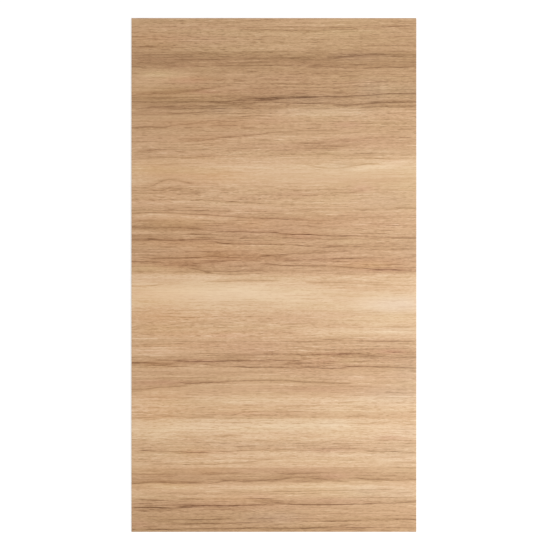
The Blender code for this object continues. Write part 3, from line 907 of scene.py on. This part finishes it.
# Two faces stand squarely to each other where their normals' product is below the first of
# these. The others tell walls, faces that don't look up, the print and the back by how far
# up their normals point.
SQUARE_BELOW = 0.5
WALL_BELOW = 0.5
NOT_UP = 0.01
PRINT_ABOVE = 0.95
BACK_BELOW = -0.9

# Flats in each eased edge: one makes a chamfer, more make a rounded arris
CHAMFER_SEGMENTS = 1
ARRIS_SEGMENTS = 4

# Walls that turn less than this are one flat, and edges sharper than this stay sharp
FLAT_ANGLE = math.radians(1)
SMOOTH_ANGLE = math.radians(35)

# The floor lies this far below the sheet, so that the two never share a plane
FLOOR_GAP = 0.2 * MM

# Width of the camera's sensor in millimetres, as lens lengths are counted
SENSOR_WIDTH = 36.0


def length_property(name, description, default, smallest=-10.0):
    return FloatProperty(
        name=name, description=description, default=default, min=smallest,
        unit="LENGTH", subtype="DISTANCE",
    )


def share_property(name, description, default):
    return FloatProperty(
        name=name, description=description, default=default, min=0.0, max=1.0, subtype="FACTOR"
    )


def colour_property(name, description, default):
    """A colour in linear light."""
    return FloatVectorProperty(
        name=name, description=description, default=default,
        size=3, min=0.0, max=1.0, subtype="COLOR",
    )


class SheetSettings(bpy.types.PropertyGroup):
    width: length_property("Width", "Across the sheet, along the printed grain", SHEET_SIZE.x, 0.1)
    height: length_property("Height", "Up the wall once the sheet hangs", SHEET_SIZE.y, 0.1)
    thickness: length_property(
        "Thickness", "Through the sheet, from its back to its print", SHEET_SIZE.z, 2.0 * MM
    )
    corner_chamfer: length_property(
        "Corner chamfer", "What is taken off each upright corner", 0.5 * MM, 0.1 * MM
    )
    face_arris: length_property(
        "Face arris", "Radius of the edge round the printed face", 0.5 * MM, 0.1 * MM
    )
    back_chamfer: length_property(
        "Back chamfer", "What is taken off the edge round the back", 0.4 * MM, 0.1 * MM
    )
    press_depth: length_property(
        "Press depth", "How deep the darkest ring is pressed into the print", 0.12 * MM, 0.0
    )
    columns: IntProperty(
        name="Columns", description="Faces of the printed side along the grain",
        default=100, min=8, max=200,
    )
    rows: IntProperty(
        name="Rows", description="Faces of the printed side across the grain",
        default=760, min=50, max=2000,
    )


class WoodSettings(bpy.types.PropertyGroup):
    vein: colour_property("Vein", "Darkest line in the print", (0.147, 0.058, 0.014))
    dark: colour_property("Dark wood", "Dark bands of the print", (0.298, 0.154, 0.065))
    middle: colour_property(
        "Middle wood", "Tan between the light and the dark bands", (0.472, 0.269, 0.131)
    )
    light: colour_property("Light wood", "Light bands of the print", (0.683, 0.436, 0.247))
    pale: colour_property("Palest wood", "Lightest streaks of the print", (0.886, 0.661, 0.442))
    core: colour_property(
        "Core", "Limestone and PVC board that shows at the cut edges", (0.420, 0.385, 0.335)
    )
    back: colour_property("Back", "Rolled back of the board", (0.500, 0.470, 0.420))
    roughness: share_property("Roughness", "Satin of the wear layer over the print", 0.48)


class StageSettings(bpy.types.PropertyGroup):
    floor_size: length_property("Floor", "Side of the square floor", 80.0, 5.0)
    floor_colour: colour_property("Floor colour", "Plain pale floor", (0.85, 0.85, 0.85))
    lift_near: share_property(
        "Lift near the sheet", "Light added to the floor that the camera sees by the sheet", 0.28
    )
    lift_far: share_property(
        "Lift far away", "Light added to the floor that the camera sees far from the sheet", 0.50
    )
    view_height: length_property(
        "View height", "Height of the picture at the sheet's face", 2.3545, 0.5
    )
    view_offset: length_property(
        "View offset", "How far right of the sheet's middle the camera looks down", 0.0045
    )
    lens: FloatProperty(
        name="Lens", description="Focal length of the camera in millimetres",
        default=60.0, min=20.0, max=200.0,
    )
    sky: FloatProperty(
        name="Sky light", description="Even white light from all round",
        default=0.62, min=0.0,
    )
    key_power: FloatProperty(
        name="Key power", description="Power of the soft lamp on the right",
        default=100.0, min=0.0, unit="POWER",
    )
    key_distance: length_property(
        "Key distance", "How far right of the sheet and above it the soft lamp hangs", 3.0, 0.5
    )
    key_forward: length_property(
        "Key forward", "How far towards the picture's foot the soft lamp hangs", 0.9
    )
    key_size: length_property("Key size", "Short side of the soft lamp", 2.0, 0.1)


def deselect_all():
    if bpy.context.mode != "OBJECT":
        bpy.ops.object.mode_set(mode="OBJECT")
    bpy.ops.object.select_all(action="DESELECT")


def select_in_edit_mode(sheet, edges=None, faces=None):
    """Selects the edges or faces for which the given test is true, and nothing else."""
    bpy.ops.mesh.select_all(action="DESELECT")
    bpy.ops.mesh.select_mode(type="EDGE" if edges else "FACE")
    shape = bmesh.from_edit_mesh(sheet.data)
    chosen = [e for e in shape.edges if edges(e)] if edges else [f for f in shape.faces if faces(f)]
    if not chosen:
        raise RuntimeError("nothing on the sheet matches the test")
    for part in chosen:
        part.select_set(True)
    shape.select_flush_mode()
    bmesh.update_edit_mesh(sheet.data)


def model_blank(sizes):
    """The sheet as a closed blank with a dense printed side and plain walls and back."""
    middle = (SHEET_LOW + SHEET_HIGH) / 2
    face_middle = (middle.x, middle.y, SHEET_LOW.z + sizes.thickness)
    deselect_all()
    bpy.ops.mesh.primitive_grid_add(
        x_subdivisions=sizes.columns, y_subdivisions=sizes.rows, size=1.0, location=face_middle
    )
    sheet = bpy.context.active_object
    sheet.name = sheet.data.name = "wood_print_sheet"
    bpy.ops.object.mode_set(mode="EDIT")
    bpy.ops.mesh.select_all(action="SELECT")
    bpy.ops.transform.resize(value=(sizes.width, sizes.height, 1.0), center_override=face_middle)
    select_in_edit_mode(sheet, edges=lambda edge: edge.is_boundary)
    bpy.ops.mesh.extrude_edges_move(
        TRANSFORM_OT_translate={"value": (0.0, 0.0, -sizes.thickness)}
    )
    bpy.ops.mesh.edge_face_add()
    bpy.ops.mesh.select_all(action="SELECT")
    bpy.ops.mesh.normals_make_consistent(inside=False)
    return sheet


def is_upright(edge):
    """An edge that runs through the thickness at one of the four corners."""
    low, high = sorted(edge.verts, key=lambda vertex: vertex.co.z)
    if high.co.z - low.co.z < ON_PLANE or len(edge.link_faces) != 2:
        return False
    first, second = (face.normal for face in edge.link_faces)
    return abs(first.dot(second)) < SQUARE_BELOW


def is_rim(edge, height):
    """An edge at this height where a wall begins or ends."""
    level = all(abs(vertex.co.z - height) < ON_PLANE for vertex in edge.verts)
    return level and any(abs(face.normal.z) < WALL_BELOW for face in edge.link_faces)


def ease_edges(sheet, sizes):
    """Chamfers the corners and the back, rounds the face's arris and clears the walls."""
    select_in_edit_mode(sheet, edges=is_upright)
    bpy.ops.mesh.bevel(offset=sizes.corner_chamfer, segments=CHAMFER_SEGMENTS, affect="EDGES")
    face_height = max(vertex.co.z for vertex in bmesh.from_edit_mesh(sheet.data).verts)
    back_height = face_height - sizes.thickness
    select_in_edit_mode(sheet, edges=lambda edge: is_rim(edge, face_height))
    bpy.ops.mesh.bevel(offset=sizes.face_arris, segments=ARRIS_SEGMENTS, profile=0.5, affect="EDGES")
    select_in_edit_mode(sheet, faces=lambda face: face.normal.z < NOT_UP)
    bpy.ops.mesh.dissolve_limited(angle_limit=FLAT_ANGLE)
    select_in_edit_mode(sheet, edges=lambda edge: is_rim(edge, back_height))
    bpy.ops.mesh.bevel(offset=sizes.back_chamfer, segments=CHAMFER_SEGMENTS, affect="EDGES")
    bpy.ops.object.mode_set(mode="OBJECT")
    bpy.ops.object.transform_apply(location=True, rotation=True, scale=True)


def tape_readings(mesh):
    """Each vertex's place in millimetres along from the left edge and down from the top edge."""
    places = np.empty(len(mesh.vertices) * 3)
    mesh.vertices.foreach_get("co", places)
    places = places.reshape(-1, 3)
    return (places[:, 0] - SHEET_LOW.x) / MM, (SHEET_HIGH.y - places[:, 1]) / MM


def rise(value, start, length):
    """0 before the start and 1 past it, rising evenly over the given length."""
    return np.clip((value - start) / length + 0.5, 0, 1)


def smooth(risen):
    """Softens both ends of a rise from 0 to 1."""
    return risen * risen * (3 - 2 * risen)


def path_height(path, along):
    """How far down a path lies at each reading along the sheet, with its corners rounded."""
    at, down = np.transpose(path)
    before, here, after = (
        np.interp(along + step, at, down) for step in (-PATH_ROUNDING_MM, 0, PATH_ROUNDING_MM)
    )
    return (before + 2 * here + after) / 4


def end_fade(path, along, sheet_width, length):
    """1 inside a path's length, falling to 0 past an end that doesn't reach the sheet's edge."""
    start, end = path[0][0], path[-1][0]
    fade = np.ones_like(along)
    if start > 0:
        fade *= rise(along, start, length)
    if end < sheet_width:
        fade *= rise(-along, -end, length)
    return smooth(fade)


def grain_drift(along, down, width):
    """How far down the grain has wandered from a straight line, led by the long rings near it."""
    pull = np.full_like(along, STRAIGHT_PULL)
    drift = np.zeros_like(along)
    readings = np.linspace(0, width, PATH_READINGS)
    for ring in RINGS:
        if ring.path[-1][0] - ring.path[0][0] < STEERING_LENGTH_MM:
            continue
        here = path_height(ring.path, along)
        usual = path_height(ring.path, readings).mean()
        weight = ring.dark * np.exp(-(((down - here) / STEERING_REACH_MM) ** 2))
        drift += weight * (here - usual)
        pull += weight
    return drift / pull


def patchwork(patches, along, down):
    """The sum of soft patches at each place."""
    total = np.zeros_like(along)
    for patch in patches:
        far = ((along - patch.along) / patch.reach) ** 2 + ((down - patch.down) / patch.spread) ** 2
        total += patch.change * np.exp(-far)
    return total


def band_light(straight):
    """How light the wood is, from the growth bands down the sheet."""
    light = np.full_like(straight, BANDS[0].light)
    for band, following in zip(BANDS, BANDS[1:]):
        passed = smooth(rise(straight, band.bottom, band.soft))
        light += (following.light - band.light) * passed
    return light


def ring_shade(along, down, width):
    """How dark the soft shade round the rings is at each place."""
    total = np.zeros_like(along)
    for ring in RINGS:
        off = (down - path_height(ring.path, along)) / (ring.thick * SHADE_WIDTHS)
        total += ring.dark * np.exp(-(off**2)) * end_fade(ring.path, along, width, RING_FADE_MM)
    return total


def soft_streaks(along, down, width):
    """The sum of the soft streaks at each place."""
    total = np.zeros_like(along)
    for streak in STREAKS:
        off = (down - path_height(streak.path, along)) / streak.spread
        total += streak.change * np.exp(-(off**2)) * end_fade(streak.path, along, width, STREAK_FADE_MM)
    return total


def ring_families():
    """Shares the rings out, each to the family whose nearest ring lies furthest from it."""
    families = [[] for _ in range(RING_FAMILIES)]

    def middle(ring):
        return sum(point[1] for point in ring.path) / len(ring.path)

    for ring in sorted(RINGS, key=middle):
        room = [
            min([abs(middle(ring) - middle(other)) for other in family], default=math.inf)
            for family in families
        ]
        families[room.index(max(room))].append(ring)
    return families


def ring_lines(rings, along, down, width):
    """The distance to a family's nearest ring, in its thicknesses, and how dark that ring is."""
    off = np.zeros_like(along)
    dark = np.zeros_like(along)
    for ring in rings:
        gap = down - path_height(ring.path, along)
        strength = ring.dark * end_fade(ring.path, along, width, RING_FADE_MM)
        strength *= np.exp(-((gap / RING_WINDOW_MM) ** 2))
        nearer = strength > dark
        off[nearer] = gap[nearer] / ring.thick
        dark[nearer] = strength[nearer]
    return off, dark


def store_figure(sheet, along, down, width, shade):
    """Stores on each vertex what the print's material reads."""
    drift = grain_drift(along, down, width)
    light = band_light(down - drift) + patchwork(PATCHES, along, down)
    light += soft_streaks(along, down, width)
    figure = {
        LIGHT: light - RING_SHADE_SHARE * shade,
        DRIFT: drift * MM,
        PORES: np.clip(PLAIN_PORES + patchwork(PORE_FIELDS, along, down), 0, 1),
        GOLD: PLAIN_GOLD + patchwork(GOLDEN_AND_ROSY, along, down),
        RICH: patchwork(RICH_AND_GREY, along, down),
        GRAIN: PLAIN_GRAIN + patchwork(GRAIN_FIELDS, along, down),
    }
    for number, rings in enumerate(ring_families()):
        off, dark = ring_lines(rings, along, down, width)
        figure[RING_OFF.format(number)] = off
        figure[RING_DARK.format(number)] = dark
    for name, values in figure.items():
        attribute = sheet.data.attributes.new(name, "FLOAT", "POINT")
        attribute.data.foreach_set("value", values.astype(np.float32))


def press_rings(sheet, shade, depth):
    """Presses the rings into the printed side, the darkest of them to the given depth."""
    deep = np.clip(shade, 0, 1)
    heights = np.array([vertex.co.z for vertex in sheet.data.vertices])
    flat = np.abs(heights - SHEET_HIGH.z) < ON_PLANE
    pressed = sheet.vertex_groups.new(name=PRESSED)
    for index in np.flatnonzero(flat & (deep > LEAST_PRESS)):
        pressed.add([int(index)], float(deep[index]), "REPLACE")
    deselect_all()
    sheet.select_set(True)
    bpy.context.view_layer.objects.active = sheet
    bpy.ops.object.modifier_add(type="DISPLACE")
    press = sheet.modifiers[-1]
    press.direction = "Z"
    press.mid_level = 0.0
    press.strength = -depth
    press.vertex_group = PRESSED
    bpy.ops.object.modifier_apply(modifier=press.name)


def write_figure(sheet, sizes):
    """Stores the figure on the mesh and presses the rings into the printed side."""
    along, down = tape_readings(sheet.data)
    width = sizes.width / MM
    shade = ring_shade(along, down, width)
    store_figure(sheet, along, down, width, shade)
    press_rings(sheet, shade, sizes.press_depth)


def add_node(tree, kind, name, inputs=None, **settings):
    """Adds a named node. An input that is a socket is linked, and any other is set."""
    made = tree.nodes.new(kind)
    made.name = made.label = name
    for key, value in settings.items():
        setattr(made, key, value)
    for socket, value in (inputs or {}).items():
        if isinstance(value, bpy.types.NodeSocket):
            tree.links.new(value, made.inputs[socket])
        else:
            made.inputs[socket].default_value = value
    return made


def combine(tree, operation, first, second, name):
    return add_node(tree, "ShaderNodeMath", name, {0: first, 1: second}, operation=operation).outputs[0]


def calculate(tree, operation, value, name):
    return add_node(tree, "ShaderNodeMath", name, {0: value}, operation=operation).outputs[0]


def object_place(tree):
    return add_node(tree, "ShaderNodeTexCoord", "Place").outputs["Object"]


def stored(tree, name):
    """What the mesh holds at each place under this name."""
    return add_node(tree, "ShaderNodeAttribute", name, attribute_name=name).outputs["Fac"]


def scaled_noise(tree, place, scale, name, detail=2.0, roughness=0.5):
    """Noise with the scale's number of features a metre along each of the place's axes."""
    stretch = add_node(tree, "ShaderNodeMapping", name + " stretch", {"Vector": place, "Scale": scale})
    noise = add_node(
        tree, "ShaderNodeTexNoise", name,
        {"Vector": stretch.outputs[0], "Scale": 1.0, "Detail": detail, "Roughness": roughness},
    )
    return noise.outputs["Fac"]


def spread(tree, value, low, high, name, start=NOISE_LOW, end=NOISE_HIGH, shape="LINEAR"):
    """Carries the range from start to end over to the one from low to high, evenly or as shaped."""
    return add_node(
        tree, "ShaderNodeMapRange", name,
        {"Value": value, "From Min": start, "From Max": end, "To Min": low, "To Max": high},
        interpolation_type=shape,
    ).outputs[0]


def blend_of(tree, first, second, share, name):
    """Two noises mixed, with the given share of the second."""
    first = combine(tree, "MULTIPLY", first, 1.0 - share, name + ", first")
    second = combine(tree, "MULTIPLY", second, share, name + ", second")
    return combine(tree, "ADD", first, second, name)


def colour_ramp(tree, value, stops, name):
    ramp = add_node(tree, "ShaderNodeValToRGB", name, {"Fac": value})
    elements = ramp.color_ramp.elements
    while len(elements) < len(stops):
        elements.new(0.5)
    for element, (position, colour) in zip(elements, stops):
        element.position = position
        element.color = (*colour, 1.0)
    return ramp.outputs["Color"]


def new_material(name):
    material = bpy.data.materials.new(name)
    material.use_nodes = True
    return material, material.node_tree, material.node_tree.nodes["Principled BSDF"]


def finish_surface(tree, surface, colour, roughness, relief, strength, depth):
    """Gives a surface its colour and roughness, and a fine relief of the given depth."""
    bump = add_node(
        tree, "ShaderNodeBump", "Fine relief", {"Height": relief, "Strength": strength, "Distance": depth}
    )
    tree.links.new(colour, surface.inputs["Base Color"])
    tree.links.new(roughness, surface.inputs["Roughness"])
    tree.links.new(bump.outputs["Normal"], surface.inputs["Normal"])


def grain_place(tree, drift):
    """Coordinates along and across the grain, which follow the rings and wander a little."""
    place = object_place(tree)
    apart = add_node(tree, "ShaderNodeSeparateXYZ", "Along and up", {"Vector": place})
    across = combine(tree, "ADD", apart.outputs["Y"], drift, "Follow the rings")
    for name, scale, reach in WANDERINGS:
        noise = scaled_noise(tree, place, scale, "Noise of " + name, detail=1.0)
        shift = spread(tree, noise, -reach, reach, "Size of " + name)
        across = combine(tree, "ADD", across, shift, "Follow the " + name)
    return add_node(
        tree, "ShaderNodeCombineXYZ", "Along the grain", {"X": apart.outputs["X"], "Y": across}
    ).outputs[0]


def grain_lines(tree, grain, growth, marks):
    """Lines of even thickness that run with the grain, bend with its growth and break off."""
    name = marks.name
    across = add_node(tree, "ShaderNodeSeparateXYZ", "Across " + name, {"Vector": grain}).outputs["Y"]
    count = combine(tree, "MULTIPLY", across, marks.per_metre, "Spacing of " + name)
    bent = combine(tree, "MULTIPLY", growth, marks.bend, "Bend of " + name)
    count = combine(tree, "ADD", count, bent, "Count of " + name)
    between = calculate(tree, "FRACT", count, "Between two " + name)
    off = combine(tree, "SUBTRACT", between, 0.5, "Side of " + name)
    off = calculate(tree, "ABSOLUTE", off, "Distance from " + name)
    fades, ends = (share * marks.thick * marks.per_metre for share in (LINE_FADES, LINE_ENDS))
    line = spread(tree, off, 1.0, 0.0, "Drawn " + name, fades, ends, "SMOOTHSTEP")
    length = scaled_noise(tree, grain, (marks.breaks, marks.per_metre, 1.0), "Breaks of " + name)
    length = spread(tree, length, 0.0, 1.0, "Lengths of " + name, marks.start, marks.full, "SMOOTHSTEP")
    return combine(tree, "MULTIPLY", line, length, "Broken " + name)


def ring_marks(tree, grain):
    """The drawn rings: a thin core round each, from the distances that the mesh holds."""
    rough = scaled_noise(tree, grain, RING_SIDES_SCALE, "Rough rings")
    rough = spread(tree, rough, -RING_ROUGHNESS, RING_ROUGHNESS, "Roughness of rings")
    total = 0.0
    for number in range(RING_FAMILIES):
        off = stored(tree, RING_OFF.format(number))
        dark = stored(tree, RING_DARK.format(number))
        off = combine(tree, "ADD", off, rough, f"Rough ring {number}")
        square = combine(tree, "MULTIPLY", off, off, f"Squared distance {number}")
        square = combine(tree, "MULTIPLY", square, -RING_SHARPNESS, f"Sharp ring {number}")
        core = calculate(tree, "EXPONENT", square, f"Core {number}")
        drawn = combine(tree, "MULTIPLY", core, dark, f"Drawn ring {number}")
        total = combine(tree, "ADD", drawn, total, f"Rings to {number}")
    worn = scaled_noise(tree, grain, RING_WEAR_SCALE, "Ring wear")
    worn = spread(tree, worn, RING_WHOLE, RING_WORN, "Worn rings")
    return combine(tree, "MULTIPLY", total, worn, "Ring darkness")


def print_lightness(tree, figure, grain):
    """How light the print is, and the marks that lie deep in its texture."""
    growth = scaled_noise(tree, grain, GROWTH_SCALE, "Growth bands")
    tones = scaled_noise(tree, grain, TONES_SCALE, "Grain tones", detail=3.0, roughness=0.75)
    fibres = scaled_noise(tree, grain, FIBRES_SCALE, "Fibres", roughness=0.7)
    lines = {marks.name: grain_lines(tree, grain, growth, marks) for marks in GRAIN_MARKS}
    lines["pores"] = combine(tree, "MULTIPLY", lines["pores"], figure[PORES], "Where pores are")

    light = figure[LIGHT]
    calm = combine(tree, "MULTIPLY", light, CALM_IN_PALE, "Calm in pale wood")
    contrast = combine(tree, "SUBTRACT", FULL_CONTRAST, calm, "Contrast in dark wood")
    contrast = combine(tree, "MULTIPLY", contrast, figure[GRAIN], "Contrast of the grain")
    grains = [(tones, NOISE_MIDDLE, TONES_SHARE, "tones"), (fibres, NOISE_MIDDLE, FIBRES_SHARE, "fibres")]
    grains += [(lines[marks.name], marks.usual, marks.share, marks.name) for marks in GRAIN_MARKS]
    for value, usual, share, name in grains:
        off = combine(tree, "SUBTRACT", value, usual, "Centred " + name)
        off = combine(tree, "MULTIPLY", off, contrast, "Contrast of " + name)
        off = combine(tree, "MULTIPLY", off, share, "Share of " + name)
        light = combine(tree, "ADD", light, off, "With " + name)
    growth = spread(tree, growth, -GROWTH_SHARE, GROWTH_SHARE, "Share of growth")
    light = combine(tree, "ADD", light, growth, "With growth")
    rings = combine(tree, "MULTIPLY", ring_marks(tree, grain), RING_LINE_SHARE, "Share of rings")
    light = combine(tree, "SUBTRACT", light, rings, "With rings")

    deep = combine(tree, "MULTIPLY", lines["strands"], STRAND_DEPTH, "Depth of strands")
    deep = combine(tree, "ADD", lines["pores"], deep, "Depth of pores and strands")
    raised = combine(tree, "MULTIPLY", tones, TONES_HEIGHT, "Raised tones")
    return light, combine(tree, "SUBTRACT", raised, deep, "Relief")


def print_material(wood):
    """The printed and pressed wood face under its satin wear layer."""
    material, tree, surface = new_material("wood_print")
    figure = {name: stored(tree, name) for name in (LIGHT, DRIFT, PORES, GRAIN, GOLD, RICH)}
    grain = grain_place(tree, figure[DRIFT])
    light, relief = print_lightness(tree, figure, grain)
    stops = [(position, getattr(wood, name)) for position, name in WOOD_STOPS]
    tan = colour_ramp(tree, light, stops, "Wood colours")
    gold = combine(tree, "MULTIPLY", figure[GOLD], GOLD_TURN, "Golden or rosy wood")
    stray = scaled_noise(tree, grain, STRAY_HUE_SCALE, "Stray hue", detail=1.0)
    stray = spread(tree, stray, PLAIN_HUE - HUE_STRAY, PLAIN_HUE + HUE_STRAY, "Stray from the hue")
    hue = combine(tree, "ADD", gold, stray, "Hue shift")
    rich = combine(tree, "MULTIPLY", figure[RICH], RICH_SHARE, "Rich or grey wood")
    rich = combine(tree, "ADD", rich, PLAIN_RICHNESS, "Richness")
    tinted = add_node(
        tree, "ShaderNodeHueSaturation", "Hue of the wood", {"Hue": hue, "Saturation": rich, "Color": tan}
    ).outputs["Color"]
    dull, glossy = wood.roughness + DULLER, wood.roughness - GLOSSIER
    satin = spread(tree, light, dull, glossy, "Satin", DULL_LIGHT, GLOSSY_LIGHT)
    finish_surface(tree, surface, tinted, satin, relief, strength=0.5, depth=0.12 * MM)
    return material


def core_material(wood):
    """The sawn edge of the board: pale stone flour in the plastic, and fine upright saw marks."""
    material, tree, surface = new_material("sawn_core")
    place = object_place(tree)
    saw = scaled_noise(tree, place, (900.0, 900.0, 40.0), "Saw marks")
    flour = scaled_noise(tree, place, (2200.0, 2200.0, 2200.0), "Stone flour", detail=1.0)
    clouds = scaled_noise(tree, place, (14.0, 14.0, 14.0), "Mixing clouds", detail=3.0)
    grey = blend_of(tree, flour, clouds, 0.5, "Specks and clouds")
    core = Vector(wood.core)
    colour = colour_ramp(tree, grey, ((0.3, core * 0.8), (0.5, core), (0.72, core * 1.2)), "Core colours")
    sawn = spread(tree, saw, 0.62, 0.85, "Sawn roughness", start=0.0, end=1.0)
    finish_surface(tree, surface, colour, sawn, saw, strength=0.6, depth=0.08 * MM)
    return material


def back_material(wood):
    """The rolled back: a plain board with faint roller lines along the sheet and a light mottle."""
    material, tree, surface = new_material("rolled_back")
    place = object_place(tree)
    roller = scaled_noise(tree, place, (420.0, 6.0, 1.0), "Roller lines", detail=3.0)
    mottle = scaled_noise(tree, place, (9.0, 9.0, 9.0), "Mottle", detail=5.0)
    grey = blend_of(tree, roller, mottle, 0.55, "Lines and mottle")
    back = Vector(wood.back)
    colour = colour_ramp(tree, grey, ((0.35, back * 0.88), (0.5, back), (0.65, back * 1.1)), "Back colours")
    rolled = spread(tree, mottle, 0.55, 0.75, "Rolled roughness", start=0.0, end=1.0)
    finish_surface(tree, surface, colour, rolled, roller, strength=0.4, depth=0.06 * MM)
    return material


def wear_materials(sheet, wood):
    """Gives the print to the faces that look up, the core to the walls and the back to the rest."""
    for material in (print_material(wood), core_material(wood), back_material(wood)):
        sheet.data.materials.append(material)
    for face in sheet.data.polygons:
        up = face.normal.z
        face.material_index = 0 if up > PRINT_ABOVE else 2 if up < BACK_BELOW else 1


class WALLPANEL_OT_sheet(bpy.types.Operator):
    """Model the panel's sheet, press and print its wood face and finish its edges and back"""

    bl_idname = "wallpanel.sheet"
    bl_label = "Model the sheet"
    bl_options = {"REGISTER", "UNDO"}

    def execute(self, context):
        sizes, wood = context.scene.wallpanel_sheet, context.scene.wallpanel_wood
        sheet = model_blank(sizes)
        ease_edges(sheet, sizes)
        write_figure(sheet, sizes)
        wear_materials(sheet, wood)
        bpy.ops.object.shade_smooth_by_angle(angle=SMOOTH_ANGLE)
        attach(sheet, "root")
        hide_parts("wall_panel")
        return {"FINISHED"}


def seen_at_all(tree):
    """1 where the camera sees a surface, plainly, mirrored or through glass, and else 0."""
    path = add_node(tree, "ShaderNodeLightPath", "Rays").outputs
    seen = combine(tree, "MAXIMUM", path["Is Camera Ray"], path["Is Glossy Ray"], "Seen or mirrored")
    return combine(tree, "MAXIMUM", seen, path["Is Transmission Ray"], "Seen at all")


def floor_material(stage):
    """A plain pale floor that a camera sees as white, where no shadow falls on it."""
    material, tree, surface = new_material("studio_floor")
    surface.inputs["Base Color"].default_value = (*stage.floor_colour, 1.0)
    surface.inputs["Roughness"].default_value = 0.9
    far = add_node(
        tree, "ShaderNodeVectorMath", "Distance from the sheet", {0: object_place(tree)}, operation="LENGTH"
    ).outputs["Value"]
    lift = spread(
        tree, far, stage.lift_near, stage.lift_far, "Lift to white", SHEET_HIGH.x, SHEET_HIGH.y * 2
    )
    lift = combine(tree, "MULTIPLY", seen_at_all(tree), lift, "Lift for the camera")
    glow = add_node(tree, "ShaderNodeEmission", "White for the camera", {"Strength": lift}).outputs[0]
    both = add_node(tree, "ShaderNodeAddShader", "Floor and lift", {0: surface.outputs[0], 1: glow})
    tree.links.new(both.outputs[0], tree.nodes["Material Output"].inputs["Surface"])
    return material


def lay_floor(stage):
    deselect_all()
    bpy.ops.mesh.primitive_plane_add(size=stage.floor_size, location=(0.0, 0.0, SHEET_LOW.z - FLOOR_GAP))
    floor = bpy.context.active_object
    floor.name = floor.data.name = "studio_floor"
    floor.data.materials.append(floor_material(stage))


def light_world(stage):
    """Even white light, and plain white behind everything that the camera or a reflection sees."""
    world = bpy.data.worlds.new("studio_light")
    bpy.context.scene.world = world
    world.use_nodes = True
    tree = world.node_tree
    strength = spread(tree, seen_at_all(tree), stage.sky, 1.0, "Light or backdrop", start=0.0, end=1.0)
    sky = tree.nodes["Background"]
    sky.inputs["Color"].default_value = (1.0, 1.0, 1.0, 1.0)
    tree.links.new(strength, sky.inputs["Strength"])


def hang_key_lamp(stage):
    """A soft lamp twice as long as it is wide, which looks down at the sheet from the right."""
    bpy.ops.object.light_add(
        type="AREA", location=(stage.key_distance, -stage.key_forward, stage.key_distance)
    )
    key = bpy.context.active_object
    key.name = key.data.name = "key_softbox"
    key.data.shape = "RECTANGLE"
    key.data.size = stage.key_size
    key.data.size_y = 2.0 * stage.key_size
    key.data.energy = stage.key_power
    key.rotation_euler = (0.0, math.radians(45), 0.0)


def place_camera(stage):
    """Looks straight down on the printed face, with the sheet's top edge at the picture's top."""
    half_view = math.atan(SENSOR_WIDTH / 2 / stage.lens)
    height = SHEET_HIGH.z + stage.view_height / 2 / math.tan(half_view)
    bpy.ops.object.camera_add(location=(stage.view_offset, 0.0, height), rotation=(0.0, 0.0, 0.0))
    camera = bpy.context.active_object
    camera.name = camera.data.name = "camera"
    camera.data.sensor_width = SENSOR_WIDTH
    camera.data.lens = stage.lens
    bpy.context.scene.camera = camera


class WALLPANEL_OT_stage(bpy.types.Operator):
    """Lay the pale floor, hang the soft light and set up the camera over the sheet"""

    bl_idname = "wallpanel.stage"
    bl_label = "Set up the stage"
    bl_options = {"REGISTER", "UNDO"}

    def execute(self, context):
        stage = context.scene.wallpanel_stage
        lay_floor(stage)
        light_world(stage)
        hang_key_lamp(stage)
        place_camera(stage)
        context.scene.view_settings.view_transform = "Standard"
        return {"FINISHED"}


class WALLPANEL_PT_panel(bpy.types.Panel):
    """Lists the sheet's and the stage's operators with their settings"""

    bl_idname = "WALLPANEL_PT_panel"
    bl_label = "SPC Wall Panel"
    bl_space_type = "VIEW_3D"
    bl_region_type = "UI"
    bl_category = "Wall Panel"

    def draw(self, context):
        scene = context.scene
        groups = (
            (WALLPANEL_OT_sheet, (scene.wallpanel_sheet, scene.wallpanel_wood)),
            (WALLPANEL_OT_stage, (scene.wallpanel_stage,)),
        )
        for operator, settings in groups:
            box = self.layout.box()
            box.operator(operator.bl_idname)
            for group in settings:
                for name in group.__annotations__:
                    box.prop(group, name)


CLASSES = (
    SheetSettings, WoodSettings, StageSettings,
    WALLPANEL_OT_sheet, WALLPANEL_OT_stage, WALLPANEL_PT_panel,
)


def register():
    for cls in CLASSES:
        bpy.utils.register_class(cls)
    bpy.types.Scene.wallpanel_sheet = PointerProperty(type=SheetSettings)
    bpy.types.Scene.wallpanel_wood = PointerProperty(type=WoodSettings)
    bpy.types.Scene.wallpanel_stage = PointerProperty(type=StageSettings)


def unregister():
    del bpy.types.Scene.wallpanel_stage
    del bpy.types.Scene.wallpanel_wood
    del bpy.types.Scene.wallpanel_sheet
    for cls in reversed(CLASSES):
        bpy.utils.unregister_class(cls)


def main():
    register()
    bpy.ops.wallpanel.sheet()
    bpy.ops.wallpanel.stage()


if __name__ == "__main__":
    main()
